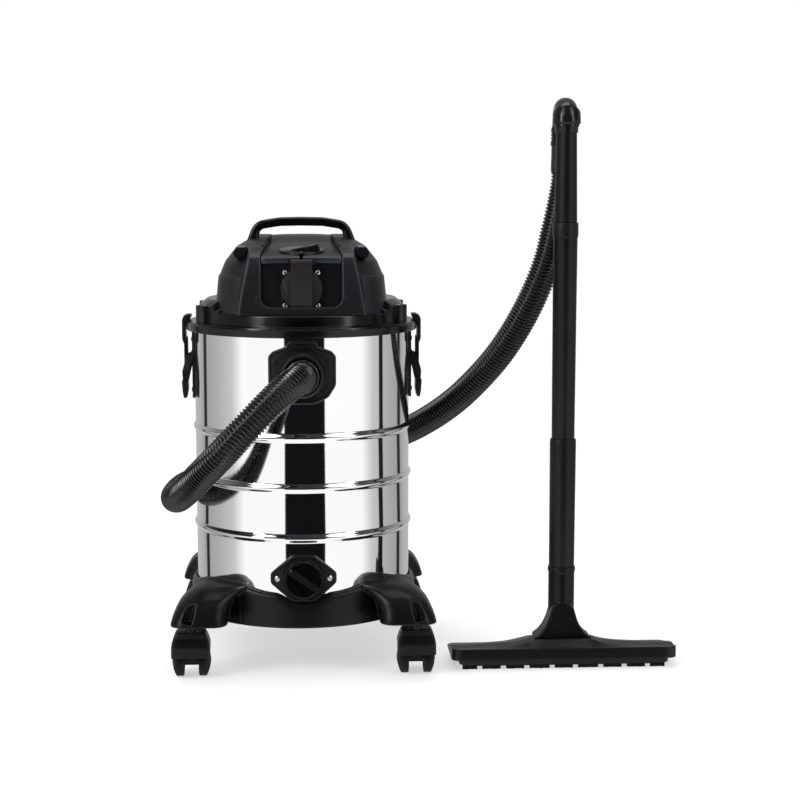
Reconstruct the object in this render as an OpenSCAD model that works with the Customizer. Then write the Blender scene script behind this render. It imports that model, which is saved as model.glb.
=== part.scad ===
// Wet and dry shop vacuum: steel tank on a four-caster dolly, lift-off motor head,
// ribbed hose, and an upright wand with a wide floor tool.
// Z is up, the front faces -Y, and the origin is under the middle of the whole object.

/* [Tank] */
// Outer diameter of the steel tank
tank_d = 300; // [290:2:310]
// Height of the tank's floor above the ground
tank_floor = 94; // [90:1:98]
// Height of the tank's rolled top edge
tank_top = 466; // [462:1:468]
// Sheet thickness of the tank
tank_wall = 1.2; // [0.8:0.1:1.6]
// How far each pressed rib stands out
rib_h = 3; // [2:0.5:4]
// Height of the lowest rib
rib_first = 189; // [185:1:193]
// Distance between ribs
rib_pitch = 68; // [66:1:70]

/* [Fittings] */
// Height of the suction inlet's centre
inlet_z = 411; // [408:1:413]
// Height of the drain's centre
drain_z = 135.5; // [134:0.5:137]

/* [Base] */
// Width of the dolly over its corner pods
base_span = 352; // [348:1:356]
// Distance of each caster stem from the centre lines
caster_at = 152; // [151:1:153]
// Radius of a caster wheel
wheel_r = 22; // [21:0.5:22.5]

/* [Head] */
// Radius of the glossy rim that caps the tank
rim_r = 161; // [160.5:0.1:161.2]
// Tilt of the control deck
deck_tilt = 7; // [6:0.5:8]
// Backward tilt of the socket face
face_tilt = 8.2; // [8:0.1:8.4]
// Top of the carry handle
handle_top = 615; // [612:1:618]

/* [Hose and wand] */
// Outer diameter of the ribbed hose
hose_d = 40; // [38:1:40]
// Distance of the wand from the tank's axis, sideways
wand_x = 357; // [350:1:360]
// Distance of the wand in front of the tank's axis
wand_y = 95; // [92:1:98]
// Width of the floor tool
tool_w = 316; // [300:2:320]

/* [Hidden] */
$fn = 64;
tank_r = tank_d / 2;
// The tank's axis stands left of the origin, so that the whole object is centred.
tank_x = -(wand_x + tool_w / 2 - base_span / 2) / 2;
gap = 0.3;

// Tank and its ribs
rib_half = 7;
rib_zs = [for (i = [0 : 2]) rib_first + i * rib_pitch];
bead_r = 2.4;
floor_bend = 5;

// Rim that caps the tank
rim_bottom = 459.5;
rim_top = 472;
rim_under = 468.8;
shelf_top = 487;
skirt_r = 141;
ramp_w = 4.5;
ramp_h = ramp_w * tan(60);

// Inlet and drain fittings
plate_gap = 0.4;
inlet_bore = 21;
inlet_ring_r = 30;
inlet_end = tank_r + 26;
drain_cap_r = 26;

// Latches, drawn for the right side and mirrored for the left one
lever_pivot = [156.5, 420];
hook_pivot = [162, 400];
cheek_in = 11.8;
cheek_out = 15;

// Dolly
pod_top = 130;
base_bottom = 70;
base_wall_out = 158;
base_wall_top = 122;
side_wall_top = 111;
side_wall_half = 75;
scoop_low = 101;
scoop_r = 64;

// Casters
hood_top = 64;
hood_front_bottom = 30;
hood_rear_bottom = 18;
trail = 15;
stem_r = 5;
axle_r = 3;

// Dome sections: height, half width, half depth, distance behind the axis, corner radius
dome_levels = [
    [487, 118, 119, 0, 72],
    [510, 115.5, 117, 0, 72],
    [533, 112, 114, 0, 70],
    [556, 104, 106, 2, 66],
    [574, 90, 92, 6, 60],
    [584, 72, 70, 14, 50],
    [588, 56, 50, 26, 40]
];
dome_skin = 3;
channel_half = 53;
channel_back = 45;

// Console: front face and the deck that rises behind it, as (y, z)
console_path = [[-114, 490], [-104.5, 556], [-98, 563], [44, 581]];
console_inner = [[-110.6, 490], [-101.6, 553.5], [-96.3, 559.8], [44, 577.6]];
switch_at = [0, -66, 567.1];
face_at = [0, -109.6, 521];

// Socket and its flap, in the frame of the socket face
socket_side = 54;
socket_r = 21;
flap_r = 27.5;
flap_hinge = [36, 7.5];
flap_half = 14.6;

// Motor stack, on its own axis
motor_y = 20;
motor_r = 60;
shaft_r = 4;
cage_r = 38;

// Wand and floor tool
elbow_z = 737;
elbow_r = 24;
elbow_tube_r = 17;
hose_end_z = 715;
tool_axis_z = 30;
barrel_r = 13;
bristle_h = 7.5;
sole_top = 9;
sole_w = 288;
slot_w = 272;
tool_bottom = 14;
tool_depth = 90;
notch_at = [for (i = [-3.5 : 3.5]) i * 33.4];
notch_w = 7;

// Route of the hose's centre line, measured from the tank's axis
hose_route = [
    [0, -178, 411], [-5, -204, 410], [-20, -229, 402], [-44, -248, 382], [-74, -256, 352],
    [-103, -248, 320], [-130, -222, 290], [-151, -183, 264], [-166, -134, 245], [-175, -78, 234],
    [-176, -20, 230], [-169, 40, 229], [-148, 96, 230], [-110, 144, 234], [-60, 172, 240],
    [-4, 182, 248], [54, 174, 258], [106, 148, 273], [150, 114, 294], [188, 80, 320],
    [222, 50, 350], [252, 24, 384], [280, 2, 422], [304, -16, 464], [324, -30, 508],
    [339, -38, 556], [349, -43, 606], [355, -46, 656], [357, -47, 690], [357, -47, 714]
];
hose_sides = 10;

charcoal = [0.09, 0.1, 0.115];
black = [0.03, 0.03, 0.032];
rubber_black = [0.05, 0.05, 0.05];
steel = [0.8, 0.8, 0.82];
zinc = [0.7, 0.7, 0.72];

// Helpers

function reversed(v) = [for (i = [len(v) - 1 : -1 : 0]) v[i]];

function rib_push(z) =
    max([for (r = rib_zs) abs(z - r) < rib_half ? rib_h * (1 + cos(180 * (z - r) / rib_half)) / 2 : 0]);

module at_tank() translate([tank_x, 0, 0]) children();

// Places a shape drawn on the XY plane on the tank's front, its Z pointing forwards
module on_front(z) translate([0, 0, z]) rotate([90, 0, 0]) children();

module on_face() translate(face_at) rotate([90 - face_tilt, 0, 0]) children();

module on_deck() translate(switch_at) rotate([deck_tilt, 0, 0]) children();

// Extrudes a profile drawn with X outwards and Y upwards, from one depth to another
module upright(from, to)
    rotate([90, 0, 0]) translate([0, 0, -to]) linear_extrude(to - from) children();

// Mirrors its children for the left side
module sided(side) {
    if (side > 0) children();
    if (side < 0) mirror([1, 0, 0]) children();
}

module ring(r_out, r_in, z0, z1)
    translate([0, 0, z0]) difference() {
        cylinder(r = r_out, h = z1 - z0);
        translate([0, 0, -1]) cylinder(r = r_in, h = z1 - z0 + 2);
    }

module rounded_rect(w, d, r) offset(r = r, $fn = 32) square([w - 2 * r, d - 2 * r], center = true);

// Tank

module tank_profile() {
    zs = concat(
        [tank_floor + floor_bend],
        [for (r = rib_zs) for (t = [-1 : 0.25 : 1]) r + t * rib_half],
        [tank_top - bead_r]
    );
    outer = [for (z = zs) [tank_r + rib_push(z), z]];
    inner = [for (z = reversed(zs)) [tank_r - tank_wall + rib_push(z), z]];
    polygon(concat(
        [[0, tank_floor], [tank_r - floor_bend, tank_floor]],
        outer,
        inner,
        [[tank_r - floor_bend - 0.5, tank_floor + tank_wall], [0, tank_floor + tank_wall]]
    ));
    translate([tank_r + bead_r - tank_wall, tank_top - bead_r]) circle(r = bead_r, $fn = 24);
}

module tank_shell() color(steel) at_tank() difference() {
    rotate_extrude($fn = 96) tank_profile();
    on_front(inlet_z) translate([0, 0, tank_r - 20]) cylinder(r = 24, h = 40);
    on_front(drain_z) translate([0, 0, tank_r - 20]) cylinder(r = 17, h = 40);
}

module inlet_outline() offset(r = 5, $fn = 24) polygon([
    [-12, 40], [12, 40], [15, 33], [36, 26], [39, 20], [39, -6], [19, -33],
    [-19, -33], [-39, -6], [-39, 20], [-36, 26], [-15, 33]
]);

// A plate of even thickness that follows the tank's curve
module curved_plate(z, thick) intersection() {
    on_front(z) translate([0, 0, tank_r - 30]) linear_extrude(60) children();
    ring(tank_r + plate_gap + thick, tank_r + plate_gap, z - 60, z + 60);
}

inlet_screw_at = [for (x = [-1, 1]) each [[x * 35, 16], [x * 20, -26]]];

module inlet_plate() color(black) at_tank() difference() {
    curved_plate(inlet_z, 7) inlet_outline();
    on_front(inlet_z) cylinder(r = inlet_ring_r, h = 200);
}

module inlet_collar() color(black) at_tank() on_front(inlet_z) difference() {
    union() {
        translate([0, 0, tank_r - 15]) cylinder(r = 23.6, h = 17);
        intersection() {
            translate([0, 0, tank_r - 5]) cylinder(r = inlet_ring_r, h = inlet_end - tank_r + 5);
            rotate([-90, 0, 0]) difference() {
                translate([0, 0, -40]) cylinder(r = tank_r + 40, h = 80);
                translate([0, 0, -50]) cylinder(r = tank_r + plate_gap, h = 100);
            }
        }
        for (x = [-1, 1])
            translate([x * (inlet_ring_r + 0.5), 0, inlet_end - 6]) cube([5, 12, 8], center = true);
    }
    cylinder(r = inlet_bore, h = 250);
}

module inlet_deflector() color(black) at_tank() on_front(inlet_z) difference() {
    translate([0, 0, tank_r - 42]) cylinder(r = 29, h = 36);
    translate([0, 0, tank_r - 39]) cylinder(r = 26.5, h = 30);
    cylinder(r = 23.65, h = 250);
    translate([4, -40, tank_r - 38]) cube([40, 80, 28]);
}

module screw_head(r) {
    difference() {
        union() {
            cylinder(r = r, h = 1.2);
            translate([0, 0, 1.2]) cylinder(r1 = r, r2 = 0.6 * r, h = 0.8, $fn = 24);
        }
        for (a = [0, 90])
            rotate([0, 0, a]) translate([0, 0, 1.8]) cube([1.2 * r, 0.22 * r, 1.4], center = true);
    }
}

module inlet_screws() color(black) at_tank()
    for (p = inlet_screw_at)
        on_front(inlet_z) rotate([0, asin(p.x / tank_r), 0])
            translate([0, p.y, tank_r + plate_gap + 7]) screw_head(3.2);

module drain_outline() offset(r = 5, $fn = 24) polygon([
    [-39, 5], [-39, -5], [-13, -26.5], [13, -26.5], [39, -5], [39, 5], [13, 26.5], [-13, 26.5]
]);

module drain_plate() color(black) at_tank() difference() {
    union() {
        curved_plate(drain_z, 5) drain_outline();
        on_front(drain_z) intersection() {
            translate([0, 0, tank_r - 5]) cylinder(r = 28, h = 13);
            rotate([-90, 0, 0]) difference() {
                translate([0, 0, -40]) cylinder(r = tank_r + 40, h = 80);
                translate([0, 0, -50]) cylinder(r = tank_r + plate_gap, h = 100);
            }
        }
        on_front(drain_z) translate([0, 0, tank_r - 14]) cylinder(r = 16.5, h = 20);
    }
    on_front(drain_z) cylinder(r = 13, h = 250);
}

module drain_screws() color(zinc) at_tank()
    for (x = [-34, 34])
        on_front(drain_z) rotate([0, asin(x / tank_r), 0])
            translate([0, 0, tank_r + plate_gap + 5]) screw_head(3.6);

module drain_cap() color(black) at_tank() on_front(drain_z) translate([0, 0, tank_r + 8.3]) {
    difference() {
        cylinder(r = drain_cap_r, h = 7);
        for (i = [0 : 23])
            rotate([0, 0, i * 15]) translate([drain_cap_r + 0.8, 0, -1]) cylinder(r = 1.6, h = 6, $fn = 16);
    }
    rotate([0, 0, -35]) translate([-22, -5, 7]) cube([44, 10, 8]);
    translate([0, 0, -12]) cylinder(r = 12.95, h = 12);
}

// Dolly and casters

module pod(sx, sy) hull() {
    translate([sx * 139, sy * 139, base_bottom])
        linear_extrude(2) rounded_rect(2 * (base_span / 2 - 139), 2 * (base_span / 2 - 139), 28);
    translate([sx * 136, sy * 136, 106]) linear_extrude(2) rounded_rect(62, 62, 26);
    translate([sx * 122, sy * 122, pod_top - 2]) linear_extrude(2) rounded_rect(42, 42, 18);
}

module base_frame() color(black) at_tank() difference() {
    union() {
        difference() {
            cylinder(r = base_wall_out, h = base_wall_top);
            translate([0, 0, -1]) cylinder(r = base_wall_out + 10, h = base_bottom + 1);
            translate([-200, -side_wall_half, side_wall_top]) cube([400, 2 * side_wall_half, 40]);
        }
        for (sx = [-1, 1]) for (sy = [-1, 1]) pod(sx, sy);
    }
    translate([0, 0, tank_floor]) cylinder(r = tank_r + 0.5, h = 100);
    translate([0, 0, base_bottom - 1]) cylinder(r = base_wall_out - 6, h = tank_floor - base_bottom - 3);
    translate([0, 0, base_bottom]) cylinder(r = 70, h = 60);
    for (sx = [-1, 1]) for (sy = [-1, 1]) {
        translate([sx * caster_at, sy * caster_at, base_bottom - 1]) difference() {
            cylinder(r = 19, h = 28);
            cylinder(r = 9, h = 40);
        }
        translate([sx * caster_at, sy * caster_at, base_bottom - 1]) cylinder(r = stem_r + 0.05, h = 31);
    }
    translate([0, -tank_r - 40, scoop_low + scoop_r]) rotate([-90, 0, 0]) cylinder(r = scoop_r, h = 80);
}

// Draws its children on a caster's swivel axis, trailing towards the middle of the dolly
module at_caster(sx, sy)
    at_tank() translate([sx * caster_at, sy * caster_at, 0]) rotate([0, 0, sy < 0 ? 0 : 180]) children();

module across(x0, x1, r)
    translate([x0, 0, 0]) rotate([0, 90, 0]) cylinder(r = r, h = x1 - x0);

module caster_hood(sx, sy) color(black) at_caster(sx, sy) difference() {
    union() {
        translate([0, trail, wheel_r]) across(-20.5, 20.5, 27);
        translate([-20.5, -11, 34]) cube([41, 33, hood_top - 34]);
    }
    translate([-30, -60, -10]) cube([60, 120, hood_rear_bottom + 10]);
    translate([-30, -60, -10]) cube([60, 62, hood_front_bottom + 10]);
    for (s = [-1, 1]) translate([s * 19.7, trail, wheel_r]) {
        across(-10, 10, wheel_r + 1.2);
        translate([-10, -60, -30]) cube([20, 120, 30]);
    }
    translate([0, trail, wheel_r]) across(-30, 30, axle_r);
    translate([0, 0, hood_top - 22]) cylinder(r = stem_r, h = 30);
}

module caster_pins(sx, sy) color(black) at_caster(sx, sy) {
    translate([0, trail, wheel_r]) across(-24, 24, axle_r);
    translate([0, 0, hood_top - 14]) cylinder(r = stem_r, h = 50);
    translate([0, 0, hood_top]) cylinder(r = 7, h = base_bottom - hood_top - gap);
}

module caster_wheels(sx, sy) color(black) at_caster(sx, sy)
    for (s = [-1, 1])
        translate([0, trail, wheel_r]) difference() {
            union() {
                across(s > 0 ? 10.3 : -25.3, s > 0 ? 25.3 : -10.3, wheel_r - 1);
                across(s > 0 ? 12 : -23.6, s > 0 ? 23.6 : -12, wheel_r);
            }
            across(-30, 30, axle_r + 0.05);
            across(s > 0 ? 24 : -30, s > 0 ? 30 : -24, 15);
        }

// Latches

module latch_brackets() color(black) at_tank() for (side = [-1, 1]) sided(side) difference() {
    union() {
        translate([tank_r + 0.4, -11.2, 363]) cube([3, 22.4, 93]);
        for (y = [-11.2, 8.2]) upright(y, y + 3) {
            translate(lever_pivot) circle(r = 5);
            polygon([[tank_r + 1, 408], [lever_pivot.x + 1, 415.2], [lever_pivot.x, 425], [tank_r + 1, 436]]);
        }
    }
    upright(-20, 20) translate(lever_pivot) circle(r = 2.55);
}

module latch_rivets() color(zinc) at_tank() for (side = [-1, 1]) sided(side)
    for (z = [374, 445])
        translate([tank_r + 3.4, 0, z]) rotate([0, 90, 0]) cylinder(r1 = 4, r2 = 2.6, h = 1.6, $fn = 32);

module lever_cheek() difference() {
    union() {
        translate(lever_pivot) circle(r = 5.2);
        translate(hook_pivot) circle(r = 5.2);
        polygon([
            lever_pivot + [-5.2, 0], lever_pivot + [5.2, 1], hook_pivot + [5.2, 1], [166.5, 388],
            [168, 384], [160, 384], hook_pivot + [-5.2, -1]
        ]);
    }
    translate(hook_pivot) circle(r = 2.55);
}

module latch_lever(side) color(black) at_tank() sided(side) {
    for (y = [-cheek_out, cheek_in]) upright(y, y + cheek_out - cheek_in) lever_cheek();
    upright(-cheek_out, cheek_out)
        polygon([[160, 394.2], [163.5, 394.2], [168, 387], [167, 372], [165.5, 363.5], [161.5, 363.5], [159.5, 374]]);
    for (y = [-cheek_in, 8.4]) upright(y, y + cheek_in - 8.4) translate(lever_pivot) circle(r = 2.5);
}

module latch_hook(side) color(black) at_tank() sided(side) {
    upright(-7.5, 7.5) {
        translate(hook_pivot) circle(r = 4.5);
        polygon([[159.5, 400], [164.5, 400], [164.5, 446], [159.5, 446]]);
    }
    upright(-14, 14) polygon([
        [159.5, 446], [164.5, 440], [166.6, 446], [166.6, 473], [164.5, 478], [160, 480], [154.4, 480],
        [154.4, rim_top + 4.4], [rim_r + 0.8, rim_top - ramp_h - 0.55], [rim_r + 0.8, 449]
    ]);
    for (y = [-cheek_out, 7.5]) upright(y, y + cheek_out - 7.5) translate(hook_pivot) circle(r = 2.5);
}

// Head

module lid_profile() polygon([
    [38, rim_top], [38, 475.5], [110, 475.5], [110, shelf_top], [skirt_r - 1.5, shelf_top],
    [skirt_r, shelf_top - 1.5], [skirt_r, rim_top], [rim_r - 1.5, rim_top], [rim_r, rim_top - 1.5],
    [rim_r, rim_bottom + 1], [rim_r - 1, rim_bottom], [157, rim_bottom], [157, rim_under], [145, rim_under],
    [145, 442], [142, 442], [142, rim_under], [138, rim_under], [138, 484], [113, 484], [113, rim_top]
]);

boss_at = [for (x = [-1, 1]) for (y = [-1, 1]) [x * 132, y * 45]];

module lid_base() color(black) at_tank() difference() {
    union() {
        rotate_extrude($fn = 96) lid_profile();
        difference() {
            for (a = [-32, 148]) rotate([0, 0, a]) rotate_extrude(angle = 64, $fn = 96)
                polygon([[112, shelf_top - 1], [112, 503], [134, 503], [skirt_r, 497], [skirt_r, shelf_top - 1]]);
            translate([-118.5, -200, shelf_top]) cube([237, 400, 60]);
        }
        for (p = boss_at) translate([p.x, p.y, rim_top]) cylinder(r = 10, h = 24);
    }
    for (p = boss_at) translate([p.x, p.y, 494]) cylinder(r = 7, h = 30);
    for (side = [-1, 1]) sided(side) upright(-15.5, 15.5)
        polygon([[rim_r - ramp_w, rim_top], [rim_r, rim_top - ramp_h], [rim_r + 5, rim_top - ramp_h],
                 [rim_r + 5, rim_top + 5], [rim_r - ramp_w, rim_top + 5]]);
}

module rim_seal() color(rubber_black) at_tank() rotate_extrude($fn = 96)
    polygon([[147, tank_top + gap], [156.6, tank_top + gap], [156.6, rim_under], [147, rim_under]]);

module dome_solid(inset) hull() for (l = dome_levels)
    translate([0, l[3], l[0] - inset])
        linear_extrude(0.01) rounded_rect(2 * (l[1] - inset), 2 * (l[2] - inset), l[4] - inset);

module head_cover() color(charcoal) at_tank() difference() {
    dome_solid(0);
    difference() {
        dome_solid(dome_skin);
        for (side = [-1, 1]) sided(side) {
            translate([channel_half, -140, shelf_top]) cube([dome_skin, 98, 120]);
            translate([channel_half, -43, 553]) cube([dome_skin, 43 + channel_back, 60]);
        }
    }
    translate([-channel_half, -140, 490]) cube([2 * channel_half, 140 + channel_back, 120]);
    translate([0, 90, 520]) rotate([-90, 0, 0]) cylinder(r = 22.1, h = 40);
    translate([66, 80, 505]) rotate([-90, 0, 0]) cylinder(r = 8.1, h = 40);
    for (side = [-1, 1]) for (i = [0 : 4])
        translate([side * 111, -24 + i * 12, 520]) cube([20, 5, 16], center = true);
}

module console() color(black) at_tank() difference() {
    rotate([90, 0, 90]) translate([0, 0, -channel_half + 0.4]) linear_extrude(2 * channel_half - 0.8)
        polygon(concat(console_path, reversed(console_inner)));
    on_face() translate([0, 0, -30]) cylinder(r = socket_r + 0.3, h = 40);
    on_deck() translate([0, 0, -20]) cylinder(r = 6, h = 40);
}

module handle_outline() difference() {
    offset(r = 8, $fn = 32) polygon([[-68, 582], [68, 582], [52, handle_top - 8.8], [0, handle_top - 8], [-52, handle_top - 8.8]]);
    offset(r = 6, $fn = 32) polygon([[-50, 560], [50, 560], [46, 596], [-46, 596]]);
    translate([-100, 400]) square([200, 170]);
}

module carry_handle() color(black) at_tank() difference() {
    upright(-14, 14) handle_outline();
    for (s = [-1, 1]) translate([s * 65, 0, 560]) cylinder(r = 2.6, h = 26);
    dome_solid(0);
}

module head_screws() color(zinc) at_tank() {
    for (p = boss_at) translate([p.x, p.y, 494]) screw_head(4);
}

module motor_housing() color([0.35, 0.35, 0.37]) at_tank() translate([0, motor_y, 0]) difference() {
    rotate_extrude() polygon([
        [motor_r, 475.5], [motor_r, 547.5], [5, 547.5], [5, 544.5], [9, 544.5], [9, 538], [12, 538],
        [12, 544.5], [motor_r - 3, 544.5], [motor_r - 3, 499], [12, 499], [12, 506], [9, 506], [9, 499],
        [5, 499], [5, 496], [motor_r - 3, 496], [motor_r - 3, 475.5]
    ]);
    for (i = [0 : 5]) rotate([0, 0, i * 60]) translate([motor_r, 0, 486]) cube([20, 14, 12], center = true);
}

module stator() color([0.55, 0.3, 0.15]) at_tank() translate([0, motor_y, 0]) ring(motor_r - 3, 26.5, 508, 534);

module motor_bearings() color(steel) at_tank() translate([0, motor_y, 0]) {
    ring(9, shaft_r + 0.05, 499, 505);
    ring(9, shaft_r + 0.05, 538.5, 544.5);
}

module rotor() color(zinc) at_tank() translate([0, motor_y, 0]) {
    translate([0, 0, 479]) cylinder(r = shaft_r, h = 67);
    ring(25.5, shaft_r, 509, 533);
}

module impeller() color(steel) at_tank() translate([0, motor_y, 0]) {
    ring(50, shaft_r, 480, 481.5);
    ring(10, shaft_r, 481.5, 492);
    difference() {
        ring(50, 20, 492, 493);
        translate([0, 0, 400]) cylinder(r = 5, h = 200);
    }
    for (i = [0 : 7]) rotate([0, 0, i * 45]) translate([22, -0.75, 481.5]) cube([26, 1.5, 10.5]);
}

module filter_cage() color(black) at_tank() difference() {
    union() {
        ring(cage_r, cage_r - 2.5, 338, rim_top - 3);
        translate([0, 0, 336]) cylinder(r = cage_r, h = 3);
        translate([0, 0, rim_top - 4]) cylinder(r = 46, h = 4);
    }
    translate([0, 0, rim_top - 10]) cylinder(r = 16, h = 20);
    for (i = [0 : 5]) rotate([0, 0, i * 30]) translate([-60, -6, 350]) cube([120, 12, 104]);
}

module float_ball() color([0.85, 0.8, 0.7]) at_tank() translate([0, 0, 339.3 + 20]) sphere(r = 20);

module filter_cartridge() color([0.9, 0.9, 0.85]) at_tank() {
    ring(60, 42, 344, 462);
    ring(64, cage_r, 462, 467.5);
    ring(64, cage_r, 338.5, 344);
}

module switch_body() color(black) at_tank() on_deck() difference() {
    translate([-17, -17, -32]) cube([34, 34, 26]);
    translate([0, 0, -20]) cylinder(r = 4.05, h = 40);
}

module switch_knob() color(black) at_tank() on_deck() {
    translate([0, 0, 0.6]) cylinder(r = 31.5, h = 5.9);
    upright(-4, 4) polygon([[-15, 6.5], [24, 6.5], [22, 14], [18, 18.5], [13, 17.5]]);
    translate([0, 0, -19]) cylinder(r = 4, h = 20);
}

module socket_plate() color(black) at_tank() on_face() difference() {
    union() {
        linear_extrude(4) rounded_rect(socket_side, socket_side, 4);
        translate([-17.8, 20, 0]) cube([35.6, 19, 2.5]);
        for (s = [-1, 1]) translate([s * 16.4 - 1.4, 32, 0]) cube([2.8, 7.4, 11]);
    }
    translate([0, 0, -1]) cylinder(r = socket_r + 0.1, h = 10);
    translate([0, flap_hinge[0], flap_hinge[1]]) across(-30, 30, 1.55);
}

module socket_insert() color(black) at_tank() on_face() difference() {
    translate([0, 0, -22]) cylinder(r = socket_r, h = 25.5);
    translate([0, 0, -16]) cylinder(r = socket_r - 2, h = 25);
    for (s = [-1, 1]) translate([s * 9.5, 0, -30]) cylinder(r = 2.4, h = 20);
}

module socket_screws() color(steel) at_tank() on_face()
    for (x = [-22, 22]) for (y = [-22, 22]) translate([x, y, 4]) screw_head(3);

module socket_flap() color([0.09, 0.075, 0.075]) at_tank() on_face() {
    translate([0, 0, 4.9]) cylinder(r = flap_r, h = 2.6);
    translate([-flap_half, -22.5, 5.4]) cube([2 * flap_half, 58, 3.6]);
    translate([0, flap_hinge[0], flap_hinge[1]]) across(-flap_half, flap_half, 3);
    translate([0, flap_hinge[0], flap_hinge[1]]) across(-17.6, 17.6, 1.5);
}

module cord_gland() color(black) at_tank() translate([66, 0, 505]) rotate([-90, 0, 0]) difference() {
    union() {
        translate([0, 0, 100]) cylinder(r = 8, h = 22);
        translate([0, 0, 118.8]) cylinder(r = 12, h = 3);
    }
    cylinder(r = 4.2, h = 200);
}

module blower_port() color(black) at_tank() translate([0, 0, 520]) rotate([-90, 0, 0]) difference() {
    union() {
        translate([0, 0, 100]) cylinder(r = 22, h = 38);
        translate([0, 0, 119.2]) cylinder(r = 28, h = 3);
    }
    cylinder(r = 18.5, h = 200);
}

// Hose

module hose_cuff() color(black) at_tank() on_front(inlet_z)
    ring(inlet_bore - 0.1, 16, 142, -hose_route[0].y);

function unit(v) = v / norm(v);

function route_tangent(i) = unit(hose_route[i + 1] - hose_route[i - 1]);

function hose_ring(p, t, r) =
    let (side = unit(cross(t, abs(t.z) > 0.95 ? [0, 1, 0] : [0, 0, 1])), other = cross(side, t))
    [for (k = [0 : hose_sides - 1])
        p + r * (cos(360 * k / hose_sides) * side + sin(360 * k / hose_sides) * other)];

module hose() color(black) at_tank() {
    last = len(hose_route) - 1;
    tangents = [for (i = [0 : last])
        i == 0 ? [0, -1, 0] : i == last ? [0, 0, 1] : route_tangent(i)];
    points = [for (i = [0 : last]) each hose_ring(hose_route[i], tangents[i], hose_d / 2)];
    m = hose_sides;
    walls = [for (i = [0 : last - 1]) for (k = [0 : m - 1])
        [i * m + k, i * m + (k + 1) % m, (i + 1) * m + (k + 1) % m, (i + 1) * m + k]];
    start = [for (k = [m - 1 : -1 : 0]) k];
    finish = [for (k = [0 : m - 1]) last * m + k];
    polyhedron(points = points, faces = concat([start], walls, [finish]), convexity = 8);
}

// Wand and floor tool

module at_wand() at_tank() translate([wand_x, -wand_y, 0]) children();

module wand_elbow() color(black) at_wand() difference() {
    union() {
        translate([0, elbow_r, elbow_z]) rotate([90, 0, 90]) rotate_extrude(angle = 180, $fn = 64)
            translate([elbow_r, 0]) circle(r = elbow_tube_r, $fn = 48);
        translate([0, 0, elbow_z - 16]) cylinder(r = elbow_tube_r, h = 16.01);
        translate([0, 0, elbow_z - 2]) cylinder(r = elbow_tube_r + 1.2, h = 6);
        translate([0, 2 * elbow_r, hose_end_z]) cylinder(r = 19.5, h = elbow_z - hose_end_z);
    }
    translate([0, 0, elbow_z - 20]) cylinder(r = 15, h = 18);
    translate([0, 2 * elbow_r, hose_end_z - 1]) cylinder(r = 15, h = elbow_z - hose_end_z - 4);
}

module upper_tube() color(black) at_wand() ring(15, 13, 596, elbow_z - 2);

module lower_tube() color(black) at_wand() difference() {
    union() {
        translate([0, 0, 590]) cylinder(r = 17.5, h = 19);
        rotate_extrude() polygon([[0, 300], [15.2, 300], [15.2, 314], [15.6, 314], [16.6, 590], [0, 590]]);
    }
    translate([0, 0, 596]) cylinder(r = 15, h = 30);
    translate([0, 0, 290]) cylinder(r = 13, h = 320);
}

module extension_tube() color(black) at_wand() difference() {
    rotate_extrude() polygon([[0, 122], [15.2, 122], [15.2, 136], [17.6, 136], [18, 310], [17.4, 314], [0, 314]]);
    translate([0, 0, 300]) cylinder(r = 15.2, h = 30);
    translate([0, 0, 110]) cylinder(r = 13, h = 220);
}

bell_points = [
    [19, 80], [20, 70], [22.5, 60], [26.5, 50], [32, 41], [39, 34],
    [-39, 34], [-32, 41], [-26.5, 50], [-22.5, 60], [-20, 70], [-19, 80]
];

module tool_neck() color(black) at_wand() difference() {
    union() {
        translate([0, 0, 78]) cylinder(r = 18, h = 52);
        translate([0, 0, 129]) cylinder(r = 19, h = 7);
        upright(-12, 12) polygon(bell_points);
        translate([0, 0, tool_axis_z]) across(-39, 39, barrel_r);
        translate([0, 0, tool_axis_z]) across(-43, 43, 4);
    }
    translate([0, 0, 122]) cylinder(r = 15.2, h = 30);
    translate([0, 0, 45]) cylinder(r = 10, h = 100);
}

module tool_body() color(black) at_wand() difference() {
    union() {
        translate([0, 0, sole_top]) linear_extrude(tool_bottom - sole_top + 1)
            rounded_rect(sole_w, tool_depth - 8, 10);
        translate([0, 0, tool_bottom]) linear_extrude(14) rounded_rect(tool_w, tool_depth, 12);
        upright(-36, 36) polygon([
            [-tool_w / 2 + 12, 27], [tool_w / 2 - 12, 27], [tool_w / 2 - 14, 28.5], [60, 31], [44, 34],
            [-44, 34], [-60, 31], [-tool_w / 2 + 14, 28.5]
        ]);
    }
    translate([0, 0, tool_axis_z]) across(-39.4, 39.4, barrel_r + 0.4);
    // Room for the neck to lean back; the front wall stays
    translate([-39.4, -21, 21.5]) cube([78.8, 80, 40]);
    translate([0, 0, tool_axis_z]) across(-43.4, 43.4, 4.08);
    translate([-slot_w / 2, -9, 0]) cube([slot_w, 18, 14]);
}

module tool_sole() color(steel) at_wand() difference() {
    translate([0, 0, bristle_h]) linear_extrude(sole_top - bristle_h) rounded_rect(sole_w, tool_depth - 8, 10);
    translate([-slot_w / 2, -9, 0]) cube([slot_w, 18, 20]);
}

module tool_bristles() color(rubber_black) at_wand() for (s = [-1, 1])
    difference() {
        translate([-140, s * 33 - 3, 0]) cube([280, 6, bristle_h]);
        for (x = notch_at) translate([x - notch_w / 2, s * 33 - 5, -1]) cube([notch_w, 10, 6]);
    }

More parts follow.
